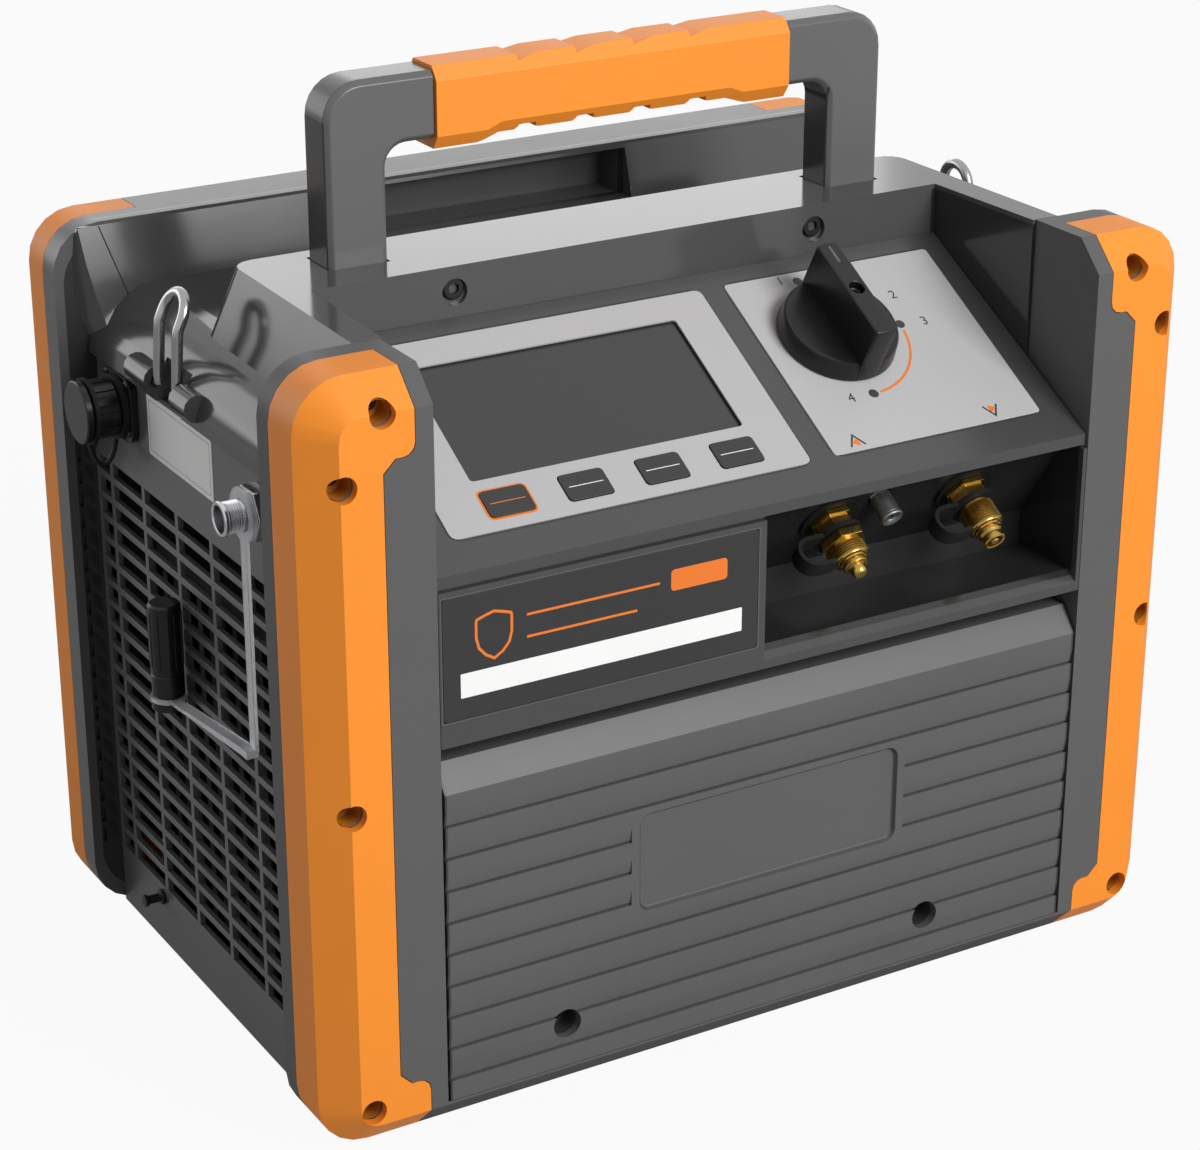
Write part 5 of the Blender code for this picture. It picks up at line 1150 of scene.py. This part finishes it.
strip = flat_rectangle((123.6, 9.9), 0.4, on_badge(-79.4, 190.6))
dressed(strip, "badge_strip", WHITE, "housing")
half = [(0, 9.5), (3.5, 8.6), (7.2, 7.4), (7.5, 6.6), (7.5, 0), (6.4, -4.2), (3.6, -7.4), (0, -9.5)]
shield = half + [(-x, z) for x, z in reversed(half[:-1])] + [half[1]]
badge_marks = [flat_path(shield, 1.1, on_badge(-126.9, 208.6))]
badge_marks.append(flat_rectangle((25.4, 8.8), 1.6, on_badge(-37.3, 213.6)))
badge_marks.append(flat_rectangle((58, 1.0), 0.3, on_badge(-84, 213.6)))
badge_marks.append(flat_rectangle((48, 1.0), 0.3, on_badge(-89, 204.6)))
dressed(joined(*badge_marks), "badge_marks", INK_ORANGE, "housing")
print("badge marks:", len(badge_marks))

# %% [markdown]
# ## The valve knob
# A turned skirt carries a bar that ends at the skirt's own radius. Rounding the bar's ends
# by hand would take many steps, so a box is trimmed by a cylinder of that radius instead.

# %% Valve knob
BAR_SIZE = (0.010, 0.060, 0.0274)
BAR_RADIUS = 0.02565
knob_at = lifted(on_panel(KNOB_X, KNOB_UP), SHEET_TOP + 0.0008)
skirt = [(0, 8.6), (22.6, 8.6), (23.9, 8.2), (24.6, 7.2), (25.4, 1.2), (25.5, 0.4), (25.1, 0), (0, 0)]
knob = lathe(skirt, knob_at, 96)
clear_selection()
bpy.ops.mesh.primitive_cube_add(size=1)
bar = bpy.context.object
bar.scale = BAR_SIZE
bar.location = (0, 0, 0.0143)
apply_place(bar)
clear_selection()
bpy.ops.mesh.primitive_cylinder_add(vertices=96, radius=BAR_RADIUS, depth=0.080)
rim = bpy.context.object
modify(bar, "BOOLEAN", operation="INTERSECT", solver="EXACT", object=rim)
bpy.data.objects.remove(rim, do_unlink=True)
cut_away(bar, hole_cutter(0.0032, 0.004, [Matrix.Translation((0, 0, 0.028))]))
modify(bar, "BEVEL", width=0.0008, segments=3, limit_method="ANGLE", angle_limit=math.radians(40))
bar.matrix_world = knob_at
apply_place(bar)
knob = joined(knob, tidy(bar))
dressed(knob, "valve_knob_shell", BLACK, "valve", ["valve_knob"])
cad_finish(STEEL, "valve_stem")
pointer = flat_rectangle((1.2, 9), 0.3, lifted(knob_at, 0.028) @ Matrix.Translation((0, 0.019, 0)))
dressed(pointer, "knob_pointer", GREY, "valve")
print("knob ready")

# %% [markdown]
# ## Hose fittings
# Two brass fittings lean out of the recess. Each has a hex nut against the wall, a fine
# thread, two rings and a nose, which is solid at the left and hollow at the right. The left
# one has a second hex above the nut. Spinning a profile gives ring, thread and nose at once.

# %% Brass fittings
FITTING_LEVEL = 213.1
PORT_OUT = on_face(0, FITTING_LEVEL).to_3x3() @ Vector((0, 0, 1))
SOLID_NOSE = [(0, 28.5), (2.3, 28.5), (2.7, 28.1), (3.1, 27.4), (3.3, 26.4), (3.3, 24.6), (3.7, 24.3)]
HOLLOW_NOSE = [(0, 25.2), (3.1, 25.2), (3.4, 27.9), (4.3, 28.1), (4.8, 27.6), (4.8, 25.6), (4.5, 24.9)]
RINGS = [(5.0, 24.3), (5.3, 23.9), (5.3, 23.3), (4.8, 22.9)]
RINGS += [(4.8, 22.5), (5.9, 22.2), (6.0, 21.6), (5.6, 21.3)]


def fitting_profile(nose, thread_end):
    """From the nose, over two rings, down a fine thread to the neck."""
    teeth = thread(7.8, 7.1, thread_end, 20.6, 1.05)
    neck = [(7.2, thread_end - 0.6), (5.6, 9.6), (5.3, 8.0), (0, 8.0)]
    return nose + RINGS + [(6.9, 21.1)] + teeth + neck


for name, x in (("inlet", 38.5), ("outlet", 104.9)):
    base = on_face(x, FITTING_LEVEL)
    if name == "inlet":
        whole = joined(lathe(fitting_profile(SOLID_NOSE, 14.6), base), hexagon(17.2, 10.5, 14.2, base))
    else:
        core = lathe([(0, 28.2), (1.5, 28.2), (1.9, 27.7), (1.9, 25.0), (0, 25.0)], base, 20)
        whole = joined(lathe(fitting_profile(HOLLOW_NOSE, 10.9), base), core)
    dressed(whole, name + "_fitting_turned", BRASS, "housing", [name + "_fitting"])
    plate = hexagon(17, 0.9, 3.3, base)
    neck = hexagon(14.3, 2.0, 7.8, base)
    dressed(joined(plate, neck), name + "_nut_hex", BRASS, "housing", [name + "_nut"])
    dish = [(0, 0.85), (11.6, 0.85), (12.4, 1.3), (13.0, 1.1), (13.2, 0.4), (13.2, 0), (0, 0)]
    dressed(lathe(dish, base, 64), name + "_gasket", RUBBER, "housing")
softened("inlet_cap_strap", RUBBER, 0.0003)
softened("outlet_cap_strap", RUBBER, 0.0003)
relief = [(0, 10.2), (1.9, 10.2), (2.2, 10.6), (2.9, 11.0), (4.4, 11.2), (4.8, 10.7)]
relief += [(4.8, 10.1), (4.5, 9.7), (4.6, 9.4), (4.6, 0.2), (0, 0.2)]
port_at = on_face(60, 219.5)
socket = [facing(PORT_OUT, port_at.translation + PORT_OUT * 0.0104)]
port = cut_away(lathe(relief, port_at), hole_cutter(0.0014, 0.003, socket, 6))
dressed(port, "relief_port_turned", SATIN, "housing", ["relief_port"])
print("fittings ready")

# %% [markdown]
# ## The left side
# The power socket has a screw cap on a tether, and twelve ribs round the cap give grip. One
# rib is a bevelled box, turned about the cap's axis for each place.

# %% Power socket and cap
CAP_RIBS = 12
CAP_RIB = (0.0011, 0.0030, 0.0100)
FLANGE_SCREW_AT = 10.6


def grip_rib(base, turns, place, size):
    """A small rounded box beside an axis, turned about it by a share of a whole turn."""
    clear_selection()
    bpy.ops.mesh.primitive_cube_add(size=1)
    rib = bpy.context.object
    turn = Matrix.Rotation(math.tau * turns, 4, "Z")
    rib.matrix_world = base @ turn @ Matrix.Translation(place) @ Matrix.Diagonal((*size, 1))
    apply_place(rib)
    modify(rib, "BEVEL", width=0.0004, segments=2)
    return tidy(rib)


inlet_at = facing((-1, 0, 0), (-SIDE + 0.003, FRONT + 0.2105, CASE_LOW + 0.2444))
softened("power_inlet", BLACK, 0.0006)
collar = lathe([(10.2, 14.9)] + thread(11.05, 10.5, 6.0, 14.6, 1.1) + [(10.2, 5.8)], inlet_at)
barrel = [(0, 21.7), (12.6, 21.7), (13.2, 21.1), (13.2, 19.0), (12.4, 18.4), (11.8, 17.4)]
barrel += [(11.8, 6.9), (11.4, 6.2), (11.15, 6.2), (11.15, 15.3), (0, 15.3)]
cap = lathe(barrel, inlet_at, 64)
ribs = []
for step in range(CAP_RIBS):
    ribs.append(grip_rib(inlet_at, step / CAP_RIBS, (0.0118, 0, 0.0118), CAP_RIB))
cap = joined(cap, *ribs)
dressed(cap, "power_cap_turned", BLACK, "inlet_cap", ["power_cap"])
dressed(collar, "inlet_thread", STEEL, "housing")
flange_screws = []
for across in (-FLANGE_SCREW_AT, FLANGE_SCREW_AT):
    for rise in (-FLANGE_SCREW_AT, FLANGE_SCREW_AT):
        spot = Matrix.Translation((across * MM, rise * MM, 0.0031))
        flange_screws.append(inlet_at @ spot)
screws("inlet_screws", flange_screws, 0.0016)
softened("power_tether", RUBBER, 0.0002, segments=1)
print("power socket ready")

# %% [markdown]
# ## Sensor socket and its cap
# The round socket has a thread and a hex nut, and a clear strap runs down from it to a ring
# round the plug cap. The cap is turned and has long ribs, made as those of the power cap.

# %% Sensor socket, strap and cap
PLUG_RIBS = 10
PLUG_RIB = (0.0010, 0.0022, 0.0240)
sensor_at = facing((-1, 0, 0), (-SIDE + 0.003, FRONT + 0.0753, CASE_LOW + 0.2436))
socket = [(0, 11.7), (5.0, 11.7), (5.3, 18.2), (5.6, 18.7), (6.6, 18.7), (7.0, 18.2), (7.0, 17.2)]
socket += [(6.4, 16.6)] + thread(6.4, 5.9, 9.4, 16.4, 1.0) + [(6.3, 9.2), (6.3, 0.4), (0, 0.4)]
dressed(lathe(socket, sensor_at), "sensor_socket_turned", STEEL, "housing", ["sensor_socket"])
nut = hexagon(20, 0.35, 7.0, sensor_at, 0.7)
dressed(nut, "sensor_nut_hex", STEEL, "housing", ["sensor_nut"])
softened("sensor_strap", CLEAR, 0.0003)
cap_low, cap_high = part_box("sensor_cap")
cap_middle = (cap_low + cap_high) / 2
plug_at = Matrix.Translation((cap_middle.x, cap_middle.y, cap_low.z))
plug = [(0, 46.5), (5.8, 46.5), (6.8, 45.6), (6.8, 16), (6.5, 15.6), (6.8, 15.2), (6.8, 6.2)]
plug += [(5.6, 5.9), (5.6, 3.6), (7.2, 3.4), (7.2, 0.3), (6.9, 0), (4.8, 0), (4.8, 27), (0, 27)]
stem = lathe(plug, plug_at)
flutes = []
for step in range(PLUG_RIBS):
    flutes.append(grip_rib(plug_at, step / PLUG_RIBS, (0.0066, 0, 0.031), PLUG_RIB))
dressed(joined(stem, *flutes), "sensor_cap_turned", BLACK, "housing", ["sensor_cap"])
softened("drain_nozzle", BLACK, 0.0003)
print("sensor socket ready")

# %% [markdown]
# ## The side label
# A white label lies on the side panel between the two sockets, with a fine line inside its
# edge. Both are flat rectangles with a little thickness, so that they export as pieces.

# %% Side label
label_at = facing((-1, 0, 0), (-SIDE + 0.003, FRONT + 0.1545, CASE_LOW + 0.2435), (0, -1, 0))
label = flat_rectangle((64, 26), 1.0, label_at, 0.00025)
dressed(label, "side_label", WHITE, "housing")
rule = flat_rectangle((60, 22), 0.6, lifted(label_at, 0.00025), border=0.4)
dressed(rule, "side_label_border", SHEET, "housing")
print("side label placed")

# %% [markdown]
# ## Wire bails
# Each bail is one bent wire whose ends turn in two bosses on the shoulder. The wire is a
# bevelled curve through the same points as the solid, made a mesh once it is right.

# %% Bend the wires
BAIL_HALF = 9.0
RIGHT_BAIL_LEAN = 25
BAIL_WIRE_RADIUS = 0.0023


def bail_points(side):
    """The wire's middle line about its hinge, in mm. The right bail lies further out."""
    half = BAIL_HALF
    bend = Vector((-side * 1.0, 0, 25.5))
    crest = Vector((-side * 7.0, 0, 38.5))
    lean = (crest - bend).normalized()
    centre = crest - lean * half
    leg = [Vector((0, 20.4, 0)), Vector((0, half + 3, 0)), Vector((0, half + 0.8, 0.8))]
    leg += [Vector((side * 0.4, half, 3)), bend * 0.86 + Vector((0, half, 0))]
    leg += [bend + Vector((0, half, 0)) + lean * 0.6, bend + lean * 3.8 + Vector((0, half, 0))]
    points = list(leg)
    for step in range(13):
        turn = math.pi * step / 12
        points.append(centre + Vector((0, half * math.cos(turn), 0)) + lean * half * math.sin(turn))
    points += [Vector((p.x, -p.y, p.z)) for p in reversed(leg)]
    swing = Matrix.Rotation(math.radians(RIGHT_BAIL_LEAN if side > 0 else 0), 3, "Y")
    return [swing @ p for p in points]


for side, word in ((-1, "left"), (1, "right")):
    hinge = Vector((side * (SIDE - 0.0008), FRONT + 0.157, CASE_TOP - 0.048))
    curve = bpy.data.curves.new("bail", "CURVE")
    curve.dimensions = "3D"
    curve.bevel_depth = BAIL_WIRE_RADIUS
    curve.bevel_resolution = 5
    curve.use_fill_caps = True
    spline = curve.splines.new("POLY")
    points = bail_points(side)
    spline.points.add(len(points) - 1)
    for point, place in zip(spline.points, points):
        point.co = (*(hinge + place * MM), 1)
    obj = bpy.data.objects.new("bail", curve)
    bpy.context.scene.collection.objects.link(obj)
    take_up(obj)
    bpy.ops.object.convert(target="MESH")
    obj = tidy(bpy.context.object, 1e-5)
    dressed(obj, "bail_%s_wire" % word, WIRE, word + "_bail", ["bail_" + word])
print("bails bent")

# %% [markdown]
# ## Inner parts and feet
# The inner parts are seen only as shade behind the louvres, so their solids stay, with cast
# metal, black plastic and rubber finishes.

# %% Finishes on inner parts
cad_finish(CAST, "compressor", "valve_block")
cad_finish(FINS, "condenser")
cad_finish(BLACK, "base_tray")
cad_finish(SCREW, "drive_motor")
cad_finish(BLACK, "fan_bracket", "cooling_fan")
cad_finish(RUBBER, "foot_front_left", "foot_rear_left", "foot_front_right", "foot_rear_right")
cad_finish(GREEN, "control_board")
print("inner parts finished")

# %% [markdown]
# ## Floor, light and camera
# The machine stands on white paper, lit softly from above. The floor is a mid grey that
# carries the shadow, and a Mix Shader shows it as nearly white to the camera and through
# clear plastic, and only faintly so in gloss, so the paper doesn't light the case.

# %% Stage


def stage_finish():
    """Pale paper that looks white to the camera, apart from a trace of shadow."""
    finish = Finish("pale_floor", (0.40, 0.40, 0.40), 0.9)
    paper = finish.noise(60, 3)
    finish.feed("Base Color", finish.mix(paper, (0.38, 0.38, 0.38, 1), (0.42, 0.42, 0.42, 1)))
    glow = finish.node("ShaderNodeEmission", {}, (1, 1, 1, 1), 1.0)
    rays = [Wire(finish, seen) for seen in finish.node("ShaderNodeLightPath", {}).socket.node.outputs]
    camera_ray, glossy_ray, clear_ray = rays[0], rays[3], rays[6]
    share = camera_ray * 0.94 + glossy_ray * 0.15 + clear_ray * 0.94
    blend = finish.node("ShaderNodeMixShader", {}, share)
    finish.tree.links.new(finish.shader.outputs[0], blend.socket.node.inputs[1])
    finish.tree.links.new(glow.socket, blend.socket.node.inputs[2])
    surface = finish.tree.nodes["Material Output"].inputs["Surface"]
    finish.tree.links.new(blend.socket, surface)
    return finish.material


clear_selection()
bpy.ops.mesh.primitive_plane_add(size=14, location=(0, 0, 0))
floor = bpy.context.object
floor.name = "floor"
floor.data.materials.append(stage_finish())
print("floor placed")

# %% [markdown]
# ## World and lamps
# The world is white to the camera, to gloss and to clear plastic, and dim to everything
# else. One large lamp from the front right gives the main light, and two cards behind the
# machine put a soft edge on its top and its left side.

# %% World and lamps
AMBIENT = 0.26
world = bpy.data.worlds.new("studio")
bpy.context.scene.world = world
world.use_nodes = True
tree = world.node_tree
background = tree.nodes["Background"]
rays = tree.nodes.new("ShaderNodeLightPath")
direct = tree.nodes.new("ShaderNodeMath")
direct.operation = "ADD"
tree.links.new(rays.outputs["Is Camera Ray"], direct.inputs[0])
tree.links.new(rays.outputs["Is Glossy Ray"], direct.inputs[1])
seen = tree.nodes.new("ShaderNodeMath")
seen.operation = "ADD"
seen.use_clamp = True
tree.links.new(direct.outputs[0], seen.inputs[0])
tree.links.new(rays.outputs["Is Transmission Ray"], seen.inputs[1])
level = tree.nodes.new("ShaderNodeMath")
level.operation = "MULTIPLY_ADD"
level.inputs[1].default_value = 1.0 - AMBIENT
level.inputs[2].default_value = AMBIENT
tree.links.new(seen.outputs[0], level.inputs[0])
tree.links.new(level.outputs[0], background.inputs["Strength"])
background.inputs["Color"].default_value = (1, 1, 1, 1)


def lamp(name, place, aim, size, power):
    data = bpy.data.lights.new(name, "AREA")
    data.shape = "RECTANGLE"
    data.size, data.size_y = size
    data.energy = power
    obj = bpy.data.objects.new(name, data)
    bpy.context.scene.collection.objects.link(obj)
    obj.location = place
    obj.rotation_euler = (Vector(aim) - Vector(place)).to_track_quat("-Z", "Y").to_euler()


lamp("key", (0.67, -2.51, 1.70), (0, 0, 0.2), (1.3, 1.3), 78)
lamp("back_card", (0.85, 2.6, 1.12), (0, 0, 0.3), (2.0, 0.75), 7)
lamp("left_card", (-1.45, 1.95, 0.75), (0, 0, 0.3), (1.5, 1.3), 10)
print("lamps placed")

# %% [markdown]
# ## Camera
# A long lens from the front left shows the front, the left side and the deck, with little
# perspective. Its place and turn were fitted to the straight edges of the case.

# %% Camera
camera = bpy.data.cameras.new("camera")
camera.lens = 92.85
camera.sensor_width = 36
camera.sensor_fit = "HORIZONTAL"
camera.shift_x = 0.0163
camera.clip_end = 30
view = bpy.data.objects.new("camera", camera)
bpy.context.scene.collection.objects.link(view)
view.location = (-0.6237, -1.0617, 0.6762)
view.rotation_euler = (math.radians(67.10), math.radians(0.13), math.radians(-30.15))
bpy.context.scene.camera = view
bpy.context.scene.view_settings.view_transform = "Standard"
print("camera placed")
